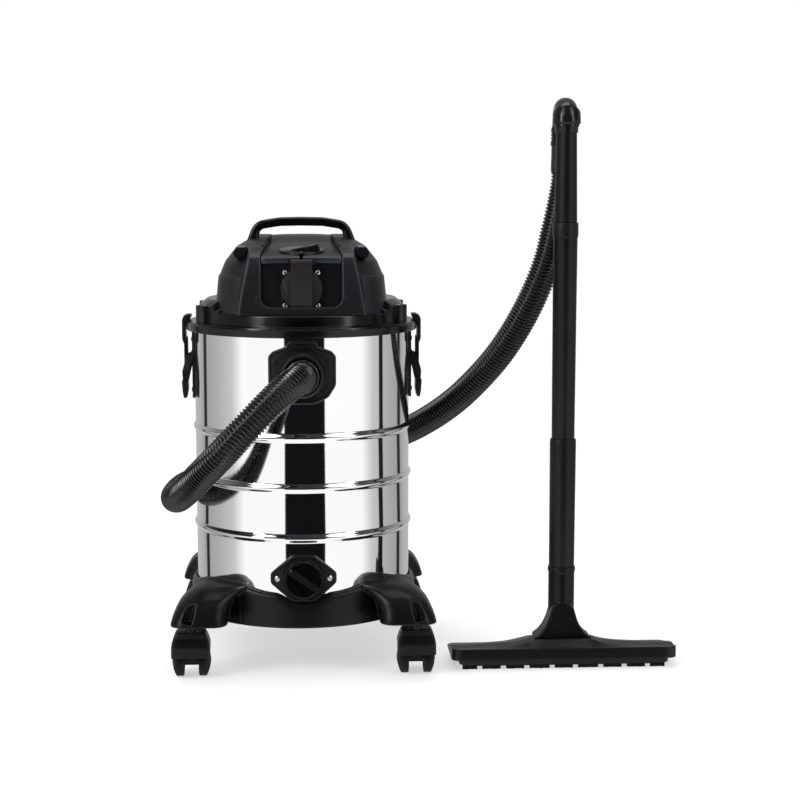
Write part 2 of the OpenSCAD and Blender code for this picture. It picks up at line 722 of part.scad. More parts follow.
tank_shell();
inlet_plate();
inlet_collar();
inlet_deflector();
inlet_screws();
drain_plate();
drain_screws();
drain_cap();
base_frame();
latch_brackets();
latch_rivets();
latch_lever(-1);  // latch_lever_left
latch_hook(-1);  // latch_hook_left
latch_lever(1);  // latch_lever_right
latch_hook(1);  // latch_hook_right
caster_hood(-1, -1);  // caster_hood_front_left
caster_pins(-1, -1);  // caster_pins_front_left
caster_wheels(-1, -1);  // caster_wheels_front_left
caster_hood(1, -1);  // caster_hood_front_right
caster_pins(1, -1);  // caster_pins_front_right
caster_wheels(1, -1);  // caster_wheels_front_right
caster_hood(-1, 1);  // caster_hood_rear_left
caster_pins(-1, 1);  // caster_pins_rear_left
caster_wheels(-1, 1);  // caster_wheels_rear_left
caster_hood(1, 1);  // caster_hood_rear_right
caster_pins(1, 1);  // caster_pins_rear_right
caster_wheels(1, 1);  // caster_wheels_rear_right
lid_base();
rim_seal();
head_cover();
console();
carry_handle();
head_screws();
motor_housing();
stator();
motor_bearings();
rotor();
impeller();
filter_cage();
float_ball();
filter_cartridge();
switch_body();
switch_knob();
socket_plate();
socket_insert();
socket_screws();
socket_flap();
cord_gland();
blower_port();
hose_cuff();
hose();
wand_elbow();
upper_tube();
lower_tube();
extension_tube();
tool_neck();
tool_body();
tool_sole();
tool_bristles();
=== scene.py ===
import math
import random

import bmesh
import bpy
from mathutils import Matrix, Vector


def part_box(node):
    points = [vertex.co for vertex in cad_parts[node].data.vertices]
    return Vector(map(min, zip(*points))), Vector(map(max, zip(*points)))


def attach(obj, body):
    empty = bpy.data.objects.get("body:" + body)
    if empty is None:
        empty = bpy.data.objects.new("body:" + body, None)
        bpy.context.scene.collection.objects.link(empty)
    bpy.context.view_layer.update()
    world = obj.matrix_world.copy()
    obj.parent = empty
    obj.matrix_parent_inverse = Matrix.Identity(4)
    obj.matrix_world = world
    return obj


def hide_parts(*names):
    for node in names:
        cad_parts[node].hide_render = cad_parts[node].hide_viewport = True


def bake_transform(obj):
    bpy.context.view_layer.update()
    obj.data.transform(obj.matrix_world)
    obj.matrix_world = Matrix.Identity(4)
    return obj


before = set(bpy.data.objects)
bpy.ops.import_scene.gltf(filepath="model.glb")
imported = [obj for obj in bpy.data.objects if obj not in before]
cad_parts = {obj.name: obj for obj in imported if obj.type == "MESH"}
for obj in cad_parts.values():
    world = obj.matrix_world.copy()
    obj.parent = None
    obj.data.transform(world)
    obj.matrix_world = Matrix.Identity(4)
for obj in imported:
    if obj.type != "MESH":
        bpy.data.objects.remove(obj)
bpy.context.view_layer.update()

# ---------------------------------------------------------------- places, all worked out from the frame
# Shapes are drawn in millimetres from the tank's axis or from the wand's axis, as in the CAD model.
MM = 0.001


def axis_of(node):
    low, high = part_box(node)
    return Vector(((low.x + high.x) / 2, (low.y + high.y) / 2, 0))


TANK_AXIS = axis_of("tank_shell")
WAND_AXIS = axis_of("upper_tube")
AT_TANK = Matrix.Translation(TANK_AXIS) @ Matrix.Scale(MM, 4)
AT_WAND = Matrix.Translation(WAND_AXIS) @ Matrix.Scale(MM, 4)
MIRROR_X = Matrix.Scale(-1, 4, (1, 0, 0))
TANK_R = 150
INLET_Z = 411
DRAIN_Z = 135.5


def at_front(z):
    """A frame on the tank's front: X to the right, Y up, Z forwards from the tank's axis."""
    return AT_TANK @ Matrix.Translation((0, 0, z)) @ Matrix.Rotation(math.radians(90), 4, "X")


def at_tilted(x, y, z, degrees):
    return AT_TANK @ Matrix.Translation((x, y, z)) @ Matrix.Rotation(math.radians(degrees), 4, "X")


# ---------------------------------------------------------------- camera
CAMERA_AT = Vector((TANK_AXIS.x + 0.00075, -2.430, 0.6715))
CAMERA_PITCH = 7.375
CAMERA_YAW = 3.237
CAMERA_LENS = 77.9

camera_data = bpy.data.cameras.new("camera")
camera_data.lens = CAMERA_LENS
camera_data.sensor_width = 36
camera_data.clip_start = 0.05
camera_data.clip_end = 60
camera = bpy.data.objects.new("camera", camera_data)
camera.location = CAMERA_AT
camera.rotation_euler = (math.radians(90 - CAMERA_PITCH), 0, math.radians(-CAMERA_YAW))
bpy.context.scene.collection.objects.link(camera)
bpy.context.scene.camera = camera


# ---------------------------------------------------------------- materials
def socket_of(node, *names):
    for name in names:
        if name in node.inputs:
            return node.inputs[name]
    raise KeyError(names)


class Shader:
    """A node material in the making: object coordinates, noises, ramps and one principled shader."""

    def __init__(self, name):
        self.material = bpy.data.materials.new(name)
        self.material.use_nodes = True
        self.tree = self.material.node_tree
        self.tree.nodes.clear()
        self.output = self.tree.nodes.new("ShaderNodeOutputMaterial")
        self.bsdf = self.tree.nodes.new("ShaderNodeBsdfPrincipled")
        self.tree.links.new(self.bsdf.outputs["BSDF"], self.output.inputs["Surface"])
        self.coords = self.tree.nodes.new("ShaderNodeTexCoord").outputs["Object"]

    def link(self, a, b):
        self.tree.links.new(a, b)

    def constant(self, **values):
        for key, value in values.items():
            self.bsdf.inputs[key.replace("_", " ")].default_value = value

    def scaled(self, scale):
        node = self.tree.nodes.new("ShaderNodeMapping")
        node.inputs["Scale"].default_value = scale
        self.link(self.coords, node.inputs["Vector"])
        return node.outputs["Vector"]

    def noise(self, scale, detail=2, rough=0.5, stretch=None):
        node = self.tree.nodes.new("ShaderNodeTexNoise")
        node.inputs["Scale"].default_value = scale
        node.inputs["Detail"].default_value = detail
        node.inputs["Roughness"].default_value = rough
        self.link(self.scaled(stretch) if stretch else self.coords, node.inputs["Vector"])
        return node.outputs["Fac"]

    def voronoi(self, scale):
        node = self.tree.nodes.new("ShaderNodeTexVoronoi")
        node.inputs["Scale"].default_value = scale
        self.link(self.coords, node.inputs["Vector"])
        return node.outputs["Distance"]

    def wave(self, scale, direction, distortion=0.0):
        node = self.tree.nodes.new("ShaderNodeTexWave")
        node.bands_direction = direction
        node.inputs["Scale"].default_value = scale
        node.inputs["Distortion"].default_value = distortion
        self.link(self.coords, node.inputs["Vector"])
        return node.outputs["Fac"]

    def ramp(self, value, stops):
        node = self.tree.nodes.new("ShaderNodeValToRGB")
        elements = node.color_ramp.elements
        while len(elements) < len(stops):
            elements.new(0.5)
        for element, (at, colour) in zip(elements, stops):
            element.position = at
            element.color = (*colour, 1) if isinstance(colour, tuple) else (colour, colour, colour, 1)
        self.link(value, node.inputs["Fac"])
        return node.outputs["Color"]

    def span(self, value, low, high):
        node = self.tree.nodes.new("ShaderNodeMapRange")
        node.inputs["To Min"].default_value = low
        node.inputs["To Max"].default_value = high
        self.link(value, node.inputs["Value"])
        return node.outputs["Result"]

    def mixed(self, a, b, factor):
        node = self.tree.nodes.new("ShaderNodeMix")
        node.data_type = "RGBA"
        for value, socket in ((factor, node.inputs["Factor"]), (a, node.inputs["A"]), (b, node.inputs["B"])):
            if isinstance(value, (int, float)):
                socket.default_value = value if socket.type == "VALUE" else (value, value, value, 1)
            elif isinstance(value, tuple):
                socket.default_value = (*value, 1)
            else:
                self.link(value, socket)
        return node.outputs["Result"]

    def edges(self, low=0.5, high=0.56):
        """Bright on convex edges: partly where handling wears plastic smooth, partly a painted highlight."""
        node = self.tree.nodes.new("ShaderNodeNewGeometry")
        spread = self.tree.nodes.new("ShaderNodeMapRange")
        spread.inputs["From Min"].default_value = low
        spread.inputs["From Max"].default_value = high
        self.link(node.outputs["Pointiness"], spread.inputs["Value"])
        return spread.outputs["Result"]

    def bump(self, value, strength, distance, after=None):
        node = self.tree.nodes.new("ShaderNodeBump")
        node.inputs["Strength"].default_value = strength
        node.inputs["Distance"].default_value = distance
        self.link(value, node.inputs["Height"])
        if after:
            self.link(after, node.inputs["Normal"])
        return node.outputs["Normal"]


def plastic(name, dark, light, rough, grain=900, depth=0.00006, strength=0.35, shine=0.2, edge_wear_and_highlight=4.5):
    """Moulded plastic: spark-eroded grain, faint flow marks in the colour, and convex edges made lighter,
    partly as wear and partly as a painted highlight.
    """
    s = Shader(name)
    flow = s.noise(9, 3, 0.6)
    colour = s.ramp(flow, [(0.3, dark), (0.75, light)])
    wear_and_highlight_colour = tuple(min(1, c * edge_wear_and_highlight) for c in light)
    # convex edges mix towards a lighter colour: partly wear, partly a painted highlight along the edges
    s.link(s.mixed(colour, wear_and_highlight_colour, s.edges()), s.bsdf.inputs["Base Color"])
    s.link(s.span(s.noise(60, 4, 0.65), rough - 0.07, rough + 0.07), s.bsdf.inputs["Roughness"])
    s.link(s.bump(s.noise(grain, 2, 0.6), strength, depth), s.bsdf.inputs["Normal"])
    s.constant(IOR=1.5, Specular_IOR_Level=shine)
    return s.material


def polished_steel():
    """Rolled sheet polished to a mirror: a trace of rolling lines and a few slow waves in the sheet."""
    s = Shader("polished_steel")
    tint = s.ramp(s.noise(5, 2), [(0.3, (0.86, 0.865, 0.885)), (0.8, (0.92, 0.92, 0.93))])
    s.link(tint, s.bsdf.inputs["Base Color"])
    lines = s.noise(40, 3, 0.7, stretch=(1, 1, 14))
    s.link(s.span(lines, 0.025, 0.065), s.bsdf.inputs["Roughness"])
    s.link(s.bump(s.noise(11, 1, 0.4, stretch=(1, 1, 0.35)), 0.12, 0.0006), s.bsdf.inputs["Normal"])
    s.constant(Metallic=1.0)
    return s.material


def plated_steel():
    s = Shader("zinc_steel")
    s.link(s.ramp(s.noise(300, 4), [(0.3, (0.55, 0.55, 0.57)), (0.8, (0.72, 0.72, 0.7))]),
           s.bsdf.inputs["Base Color"])
    s.link(s.span(s.noise(700, 3), 0.18, 0.36), s.bsdf.inputs["Roughness"])
    s.link(s.bump(s.noise(1500, 2), 0.2, 0.00004), s.bsdf.inputs["Normal"])
    s.constant(Metallic=1.0)
    return s.material


def rubber(name, dark, light, rough):
    s = Shader(name)
    dust = s.noise(35, 5, 0.7)
    s.link(s.ramp(dust, [(0.4, dark), (0.8, light)]), s.bsdf.inputs["Base Color"])
    s.link(s.span(s.noise(220, 3), rough - 0.08, rough + 0.1), s.bsdf.inputs["Roughness"])
    s.link(s.bump(s.voronoi(1400), 0.25, 0.00006), s.bsdf.inputs["Normal"])
    s.constant(IOR=1.47, Specular_IOR_Level=0.2, Sheen_Weight=0.02, Sheen_Roughness=0.5)
    return s.material


def copper_winding():
    s = Shader("copper_winding")
    strands = s.wave(260, "Z", 1.5)
    s.link(s.ramp(strands, [(0.1, (0.25, 0.09, 0.03)), (0.9, (0.8, 0.38, 0.16))]),
           s.bsdf.inputs["Base Color"])
    s.link(s.span(s.noise(400), 0.2, 0.4), s.bsdf.inputs["Roughness"])
    s.link(s.bump(strands, 0.6, 0.0004), s.bsdf.inputs["Normal"])
    s.constant(Metallic=0.9)
    return s.material


def filter_paper():
    s = Shader("filter_paper")
    fibres = s.noise(900, 6, 0.7, stretch=(1, 1, 0.25))
    s.link(s.ramp(fibres, [(0.3, (0.62, 0.6, 0.52)), (0.75, (0.8, 0.78, 0.7))]), s.bsdf.inputs["Base Color"])
    s.link(s.span(s.noise(50), 0.8, 0.95), s.bsdf.inputs["Roughness"])
    s.link(s.bump(fibres, 0.5, 0.0002), s.bsdf.inputs["Normal"])
    s.constant(Sheen_Weight=0.2)
    return s.material


SLOTS = {
    "polished_steel": polished_steel(),
    "charcoal_plastic": plastic("charcoal_plastic", (0.0036, 0.0042, 0.0056), (0.0062, 0.0072, 0.0094), 0.4,
                                shine=0.36, edge_wear_and_highlight=3.2),
    "satin_black": plastic("satin_black", (0.0011, 0.0011, 0.0013), (0.0024, 0.0024, 0.0027), 0.36,
                           grain=1300, strength=0.2, shine=0.24),
    "gloss_black": plastic("gloss_black", (0.0006, 0.0006, 0.0008), (0.0014, 0.0014, 0.0017), 0.2, grain=500,
                           strength=0.08,
                           shine=0.34),
    "flap_plastic": plastic("flap_plastic", (0.0068, 0.0054, 0.0062), (0.0092, 0.0076, 0.0087), 0.46,
                            grain=1500, edge_wear_and_highlight=3),
    "hose_plastic": plastic("hose_plastic", (0.0009, 0.0009, 0.0011), (0.002, 0.002, 0.0024), 0.21, grain=700,
                            strength=0.1, shine=0.62, edge_wear_and_highlight=3),
    "rubber": rubber("rubber", (0.004, 0.004, 0.004), (0.009, 0.009, 0.0095), 0.6),
    "bristle": rubber("bristle", (0.0015, 0.0015, 0.0015), (0.005, 0.005, 0.005), 0.65),
    "wheel_rubber": rubber("wheel_rubber", (0.0025, 0.0025, 0.0025), (0.006, 0.006, 0.006), 0.5),
    "zinc_steel": plated_steel(),
    "motor_plastic": plastic("motor_plastic", (0.1, 0.1, 0.11), (0.14, 0.14, 0.15), 0.55),
    "copper_winding": copper_winding(),
    "float_plastic": plastic("float_plastic", (0.62, 0.56, 0.44), (0.72, 0.66, 0.54), 0.35, edge_wear_and_highlight=1.1),
    "filter_paper": filter_paper(),
}

# Every CAD node that still shows gets the full material of its slot.
for node_name, node_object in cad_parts.items():
    for material_slot in node_object.material_slots:
        base = (material_slot.material.name if material_slot.material else "").split(".")[0]
        if base in SLOTS:
            material_slot.material = SLOTS[base]


# ---------------------------------------------------------------- mesh tools
def piece(name, geometry, body, slot, at=AT_TANK, replaces=(), sharp=32, bevel=0.0):
    """Makes one visible piece from vertices and faces in millimetres, and lets it ride on its body."""
    obj = raw(name, geometry, at)
    if bevel:
        soften(obj, bevel)
    return dress(obj, body, slot, replaces, sharp)


def raw(name, geometry, at=AT_TANK):
    vertices, faces = geometry
    mesh = bpy.data.meshes.new(name)
    mesh.from_pydata([at @ Vector(v) for v in vertices], [], [list(f) for f in faces])
    work = bmesh.new()
    work.from_mesh(mesh)
    bmesh.ops.remove_doubles(work, verts=work.verts, dist=1e-6)
    bmesh.ops.recalc_face_normals(work, faces=work.faces)
    work.to_mesh(mesh)
    work.free()
    obj = bpy.data.objects.new(name, mesh)
    bpy.context.scene.collection.objects.link(obj)
    return obj


def dress(obj, body, slot, replaces=(), sharp=32):
    obj.data.materials.clear()
    obj.data.materials.append(SLOTS[slot])
    obj.data.shade_smooth()
    if sharp:
        obj.data.set_sharp_from_angle(angle=math.radians(sharp))
    if replaces:
        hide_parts(*replaces)
    if body:
        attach(obj, body)
    return obj


def apply_modifiers(obj):
    graph = bpy.context.evaluated_depsgraph_get()
    mesh = bpy.data.meshes.new_from_object(obj.evaluated_get(graph))
    obj.modifiers.clear()
    obj.data = mesh
    mesh.name = obj.name
    return obj


def soften(obj, width, segments=2, limit=32):
    """Rounds every edge sharper than the limit."""
    modifier = obj.modifiers.new("round", "BEVEL")
    modifier.width = width * MM
    modifier.segments = segments
    modifier.limit_method = "ANGLE"
    modifier.angle_limit = math.radians(limit)
    modifier.use_clamp_overlap = True
    return apply_modifiers(obj)


def drop(obj):
    mesh = obj.data
    bpy.data.objects.remove(obj)
    bpy.data.meshes.remove(mesh)


def combine(obj, others, operation="UNION"):
    for other in others:
        modifier = obj.modifiers.new("combine", "BOOLEAN")
        modifier.operation = operation
        modifier.solver = "EXACT"
        modifier.object = other
        apply_modifiers(obj)
        drop(other)
    return obj


def join(objects):
    """One object out of several that stay separate shells."""
    first = objects[0]
    work = bmesh.new()
    for obj in objects:
        work.from_mesh(obj.data)
    work.to_mesh(first.data)
    work.free()
    for obj in objects[1:]:
        drop(obj)
    return first


def melt(obj, voxel, smooth=4, keep=1.0):
    """Fuses overlapping solids into one moulded skin, on a grid of that many millimetres."""
    modifier = obj.modifiers.new("fuse", "REMESH")
    modifier.mode = "VOXEL"
    modifier.voxel_size = voxel * MM
    if smooth:
        relax = obj.modifiers.new("relax", "SMOOTH")
        relax.factor = 0.5
        relax.iterations = smooth
    apply_modifiers(obj)
    if keep < 1:
        thin = obj.modifiers.new("thin", "DECIMATE")
        thin.ratio = keep
        apply_modifiers(obj)
    return obj


def softened_copy(node, body, slot, width, segments):
    """A CAD node's own shape with its edges rounded, standing for that node."""
    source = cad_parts[node]
    obj = bpy.data.objects.new(node + "_skin", source.data.copy())
    bpy.context.scene.collection.objects.link(obj)
    work = bmesh.new()
    work.from_mesh(obj.data)
    bmesh.ops.remove_doubles(work, verts=work.verts, dist=2e-6)
    bmesh.ops.dissolve_limit(work, angle_limit=math.radians(1.5), verts=work.verts, edges=work.edges)
    work.to_mesh(obj.data)
    work.free()
    soften(obj, width, segments, 30)
    return dress(obj, body, slot, (node,), 32)


# ---------------------------------------------------------------- shapes, as (vertices, faces)
def fillet(corners, steps=6):
    """An outline from corners (x, y, radius), each turned into an arc that meets both sides."""
    outline = []
    count = len(corners)
    for i, (x, y, radius) in enumerate(corners):
        corner = Vector((x, y))
        before = Vector(corners[i - 1][:2]) - corner
        after = Vector(corners[(i + 1) % count][:2]) - corner
        if radius <= 0 or before.length < 1e-6 or after.length < 1e-6:
            outline.append((x, y))
            continue
        half = before.angle(after) / 2
        back = min(radius / max(math.tan(half), 1e-4), before.length * 0.49, after.length * 0.49)
        a, b = corner + before.normalized() * back, corner + after.normalized() * back
        for k in range(steps + 1):
            t = k / steps
            p = a * (1 - t) ** 2 + corner * 2 * t * (1 - t) + b * t ** 2
            outline.append((p.x, p.y))
    return outline


def prism(outline, low, high):
    count = len(outline)
    vertices = [(x, y, z) for z in (low, high) for x, y in outline]
    faces = [[k, (k + 1) % count, count + (k + 1) % count, count + k] for k in range(count)]
    return vertices, faces + [list(range(count - 1, -1, -1)), list(range(count, 2 * count))]


def loft(rings, caps=True, closed=False):
    """A skin through rings that all have the same number of points."""
    count = len(rings[0])
    vertices = [tuple(p) for ring in rings for p in ring]
    faces = []
    pairs = [(i, i + 1) for i in range(len(rings) - 1)]
    if closed:
        pairs.append((len(rings) - 1, 0))
    for i, j in pairs:
        for k in range(count):
            n = (k + 1) % count
            faces.append([i * count + k, i * count + n, j * count + n, j * count + k])
    if caps and not closed:
        faces.append(list(range(count - 1, -1, -1)))
        faces.append([(len(rings) - 1) * count + k for k in range(count)])
    return vertices, faces


def lathe(profile, steps=128, start=0.0, turn=2 * math.pi):
    """Turns a closed outline of (radius, height) round the Z axis."""
    whole = turn > 6.28
    columns = steps if whole else steps + 1
    vertices, rows = [], []
    for radius, height in profile:
        if radius < 1e-6:
            rows.append([len(vertices)] * columns)
            vertices.append((0, 0, height))
        else:
            rows.append(list(range(len(vertices), len(vertices) + columns)))
            for k in range(columns):
                a = start + turn * k / steps
                vertices.append((radius * math.cos(a), radius * math.sin(a), height))
    faces = []
    for low, high in zip(rows, rows[1:] + rows[:1]):
        for k in range(steps):
            n = (k + 1) % columns
            face = list(dict.fromkeys([low[k], low[n], high[n], high[k]]))
            if len(face) > 2:
                faces.append(face)
    if not whole:
        faces.append([row[0] for row in rows])
        faces.append([row[-1] for row in reversed(rows)])
    return vertices, faces


def moved(geometry, matrix):
    vertices, faces = geometry
    return [tuple(matrix @ Vector(v)) for v in vertices], faces


def merged(*geometries):
    vertices, faces = [], []
    for more_vertices, more_faces in geometries:
        shift = len(vertices)
        vertices += more_vertices
        faces += [[i + shift for i in face] for face in more_faces]
    return vertices, faces


def block(x0, x1, y0, y1, z0, z1):
    return prism([(x0, y0), (x1, y0), (x1, y1), (x0, y1)], z0, z1)


def rounded_rect(half_w, half_d, radius, cx=0.0, cy=0.0, arc=10, straight=6):
    """A rounded rectangle with the same number of points whatever its size, counter-clockwise."""
    radius = min(radius, half_w - 0.01, half_d - 0.01)
    centres = [(half_w - radius, half_d - radius), (radius - half_w, half_d - radius),
               (radius - half_w, radius - half_d), (half_w - radius, radius - half_d)]
    arcs = []
    for quarter, (x, y) in enumerate(centres):
        angles = [math.pi / 2 * (quarter + k / arc) for k in range(arc + 1)]
        arcs.append([(cx + x + radius * math.cos(a), cy + y + radius * math.sin(a)) for a in angles])
    outline = []
    for i, corner in enumerate(arcs):
        outline += corner
        ahead = arcs[(i + 1) % 4][0]
        for k in range(1, straight):
            t = k / straight
            outline.append(tuple(corner[-1][j] * (1 - t) + ahead[j] * t for j in (0, 1)))
    return outline


def lerp_table(table, at):
    """Linear interpolation of a table whose rows start with the key."""
    if at <= table[0][0]:
        return table[0][1:]
    for low, high in zip(table, table[1:]):
        if at <= high[0]:
            t = (at - low[0]) / (high[0] - low[0])
            return [a * (1 - t) + b * t for a, b in zip(low[1:], high[1:])]
    return table[-1][1:]


def spline(points, per_span):
    """Catmull-Rom curve through the points, which stay on it."""
    points = [Vector(p) for p in points]
    ends = [2 * points[0] - points[1]] + points + [2 * points[-1] - points[-2]]
    curve = []
    for a, b, c, d in zip(ends, ends[1:], ends[2:], ends[3:]):
        for k in range(per_span):
            t = k / per_span
            curve.append((2 * b + (c - a) * t + (2 * a - 5 * b + 4 * c - d) * t ** 2
                          + (3 * b - a - 3 * c + d) * t ** 3) / 2)
    return curve + [points[-1]]


def even(points, step):
    """The same line with its points an equal distance apart, near the step."""
    lengths = [0.0]
    for a, b in zip(points, points[1:]):
        lengths.append(lengths[-1] + (b - a).length)
    count = max(2, round(lengths[-1] / step))
    out, i = [], 0
    for k in range(count + 1):
        target = lengths[-1] * k / count
        while i < len(points) - 2 and lengths[i + 1] < target:
            i += 1
        span = lengths[i + 1] - lengths[i]
        out.append(points[i].lerp(points[i + 1], (target - lengths[i]) / span if span else 0))
    return out, lengths[-1]


def frames_along(points):
    """Tangent and two sideways directions at each point, carried along without twist."""
    tangents = []
    for i in range(len(points)):
        tangents.append((points[min(i + 1, len(points) - 1)] - points[max(i - 1, 0)]).normalized())
    side = tangents[0].orthogonal().normalized()
    out = []
    for t in tangents:
        side = (side - t * side.dot(t)).normalized()
        out.append((t, side, t.cross(side)))
    return out


# ---------------------------------------------------------------- the hose
HOSE_ROUTE = [
    (0, -178, 411), (-5, -204, 410), (-20, -229, 402), (-44, -248, 382), (-74, -256, 352),
    (-103, -248, 320), (-130, -222, 290), (-151, -183, 264), (-166, -134, 245), (-175, -78, 234),
    (-176, -20, 230), (-169, 40, 229), (-148, 96, 230), (-110, 144, 234), (-60, 172, 240),
    (-4, 182, 248), (54, 174, 258), (106, 148, 273), (150, 114, 294), (188, 80, 320),
    (222, 50, 350), (252, 24, 384), (280, 2, 422), (304, -16, 464), (324, -30, 508),
    (341, -38, 556), (351.5, -43, 606), (358.4, -46, 656), (360, -47, 690), (360, -47, 714),
]
HOSE_R = 20
HOSE_PITCH = 5.0
HOSE_GROOVE = 2.7
HOSE_SIDES = 36
ROWS_A_TURN = 8
# the hose slims towards the wand: from this height, over this length, by this part of its radius
SLIM_FROM = 590
SLIM_OVER = 80
SLIM_BY = 0.22
WAND_SIDE = 300
SLEEVE_FROM = 672


def corrugation(turn):
    """How deep the groove is at a place in one turn of the helix: a round ridge and a narrow valley."""
    t = turn % 1.0
    return (0.5 - 0.5 * math.cos(2 * math.pi * t)) ** 1.25


def hose_skin():
    line, length = even(spline(HOSE_ROUTE, 24), HOSE_PITCH / ROWS_A_TURN)
    around = frames_along(line)
    rows, vertices = len(line), []
    for i in range(rows):
        for k in range(HOSE_SIDES):
            # the row climbs one pitch per turn, so that ridges run along the mesh
            ahead = ROWS_A_TURN * k / HOSE_SIDES
            at = min(i + ahead, rows - 1.001)
            low = int(at)
            centre = line[low].lerp(line[low + 1], at - low)
            _, side, other = around[low]
            a = 2 * math.pi * k / HOSE_SIDES
            slim = max(0.0, min(1.0, (centre.z - SLIM_FROM) / SLIM_OVER)) if centre.x > WAND_SIDE else 0
            radius = (HOSE_R - HOSE_GROOVE * corrugation(i / ROWS_A_TURN)) * (1 - SLIM_BY * slim)
            vertices.append(centre + radius * (math.cos(a) * side + math.sin(a) * other))
    faces = []
    for i in range(rows - ROWS_A_TURN - 1):
        for k in range(HOSE_SIDES):
            wrap = k == HOSE_SIDES - 1
            a, d = i * HOSE_SIDES + k, (i + 1) * HOSE_SIDES + k
            b = (i + ROWS_A_TURN) * HOSE_SIDES if wrap else a + 1
            c = (i + 1 + ROWS_A_TURN) * HOSE_SIDES if wrap else d + 1
            faces.append([a, b, c, d])
    used = sorted({i for f in faces for i in f})
    place = {old: new for new, old in enumerate(used)}
    return ([vertices[i] for i in used], [[place[i] for i in f] for f in faces]), line, length


hose_geometry, hose_line, hose_length = hose_skin()
hose = raw("ribbed_hose", hose_geometry)
dress(hose, None, "hose_plastic", ("hose",), sharp=0)
hose_path = [tuple(AT_TANK @ p) for p in hose_line[::ROWS_A_TURN]]
if hose_path[-1] != tuple(AT_TANK @ hose_line[-1]):
    hose_path.append(tuple(AT_TANK @ hose_line[-1]))
cuff_outline = fillet([(16.5, 143, 0.5), (20.9, 143, 0.5), (20.9, 177, 0.4), (22.2, 179, 0.8),
                       (22.2, 186, 1.2),
                       (20.3, 187, 0.4), (16.5, 180, 0.5)], 4)
hose_cuff = piece("hose_cuff_skin", lathe(cuff_outline, 96), "tank", "hose_plastic", at_front(INLET_Z),
                  ("hose_cuff",), 30)

# smooth sleeve moulded on the hose's upper end
sleeve_line, _ = even([p for p in spline(HOSE_ROUTE, 24) if p.z > SLEEVE_FROM and p.x > WAND_SIDE], 2.5)
sleeve_rings = []
for i, (p, (t, side, other)) in enumerate(zip(sleeve_line, frames_along(sleeve_line))):
    part = i / (len(sleeve_line) - 1)
    radius = 16.6 + 0.5 * math.sin(math.pi * min(1, part * 2.2) * 0.5) - 0.6 * part
    if i < 2:
        radius -= 0.5 * (2 - i)
    sleeve_rings.append([p + radius * (math.cos(a) * side + math.sin(a) * other)
                         for a in (2 * math.pi * k / 56 for k in range(56))])
hose_sleeve = piece("hose_sleeve", loft(sleeve_rings), "wand", "hose_plastic", sharp=40)
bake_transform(hose)


# ---------------------------------------------------------------- tank
RIB_ZS = (189, 257, 325)
RIB_HALF = 7
RIB_PROUD = 3
TANK_FLOOR = 94
TANK_TOP = 466
TANK_WALL = 1.2
BEAD_R = 2.4


def rib_push(z):
    return max(RIB_PROUD * (1 + math.cos(math.pi * (z - r) / RIB_HALF)) / 2 if abs(z - r) < RIB_HALF else 0
               for r in RIB_ZS)


def tank_outline():
    heights = [TANK_FLOOR + 7]
    for r in RIB_ZS:
        heights += [r + RIB_HALF * k / 12 for k in range(-12, 13)]
    heights.append(TANK_TOP - BEAD_R)
    outer = [(TANK_R + rib_push(z), z) for z in heights]
    corner = [(TANK_R - 7 + 7 * math.sin(a), TANK_FLOOR + 7 - 7 * math.cos(a))
              for a in (math.pi / 2 * k / 6 for k in range(6))]
    bead_centre = (TANK_R - TANK_WALL + BEAD_R, TANK_TOP - BEAD_R)
    bead = [(bead_centre[0] - BEAD_R * math.cos(a), bead_centre[1] - BEAD_R * math.sin(a))
            for a in (math.radians(60 + 300 * k / 16) for k in range(17))]
    inner = [(r - TANK_WALL, z) for r, z in reversed(outer)]
    return [(0, TANK_FLOOR)] + corner + outer + bead + inner + [
        (TANK_R - 8, TANK_FLOOR + 2), (TANK_R - 12, TANK_FLOOR + TANK_WALL), (0, TANK_FLOOR + TANK_WALL)]


tank = raw("tank_skin", lathe(tank_outline(), 256))
holes = [raw("hole", lathe([(0, 120), (r, 120), (r, 170), (0, 170)], 48), at_front(z))
         for r, z in ((24, INLET_Z), (17, DRAIN_Z))]
combine(tank, holes, "DIFFERENCE")
dress(tank, "tank", "polished_steel", ("tank_shell",), sharp=40)


# ---------------------------------------------------------------- head: rim and skirt
RIM_R = 161
RIM_BOTTOM = 459.5
RIM_TOP = 472
SHELF_TOP = 487
SKIRT_R = 141


def lid_outline():
    """The rim caps the tank's bead with a channel; the skirt stands on it."""
    return fillet([(157, RIM_BOTTOM, 0.6), (RIM_R - 0.2, RIM_BOTTOM, 1.6), (RIM_R, RIM_TOP - 2.6, 0.5),
                  (RIM_R - 1.2, RIM_TOP - 2.2, 0.3), (RIM_R - 1.6, RIM_TOP, 1.2),
                  (SKIRT_R + 1.2, RIM_TOP + 0.4, 1),
                  (SKIRT_R, SHELF_TOP, 2.2), (112, SHELF_TOP, 0.5), (112, 475.5, 1), (38, 475.5, 0.5),
                  (38, RIM_TOP, 0.5), (113, RIM_TOP, 1), (113, 484, 0.5), (138, 484, 0.5), (138, 468.8, 0.5),
                  (142, 468.8, 0.3), (142, 442, 0.5), (145, 442, 0.5), (145, 468.8, 0.3), (157, 468.8, 0.5)],
                  4)


def sector(profile, centre_degrees, half_degrees, steps=40):
    start = math.radians(centre_degrees - half_degrees)
    return lathe(profile, steps, start, math.radians(2 * half_degrees))


def lid():
    base = raw("lid_skin", lathe(lid_outline(), 192))
    shelves = []
    for side in (0, 180):
        # shelf that carries the cover at each side, its outer edge chamfered
        shelf = [(112, SHELF_TOP - 1), (112, 502), (116, 503.5), (131, 503.5), (139.5, 497), (SKIRT_R, 494),
                 (SKIRT_R, SHELF_TOP - 1)]
        shelves.append(raw("shelf", sector(shelf, side, 31)))
        step = [(120, SHELF_TOP - 1), (120, 493.5), (134, 493.5), (SKIRT_R, 490), (SKIRT_R, SHELF_TOP - 1)]
        shelves.append(raw("step", sector(step, side, 37)))
    return base, shelves


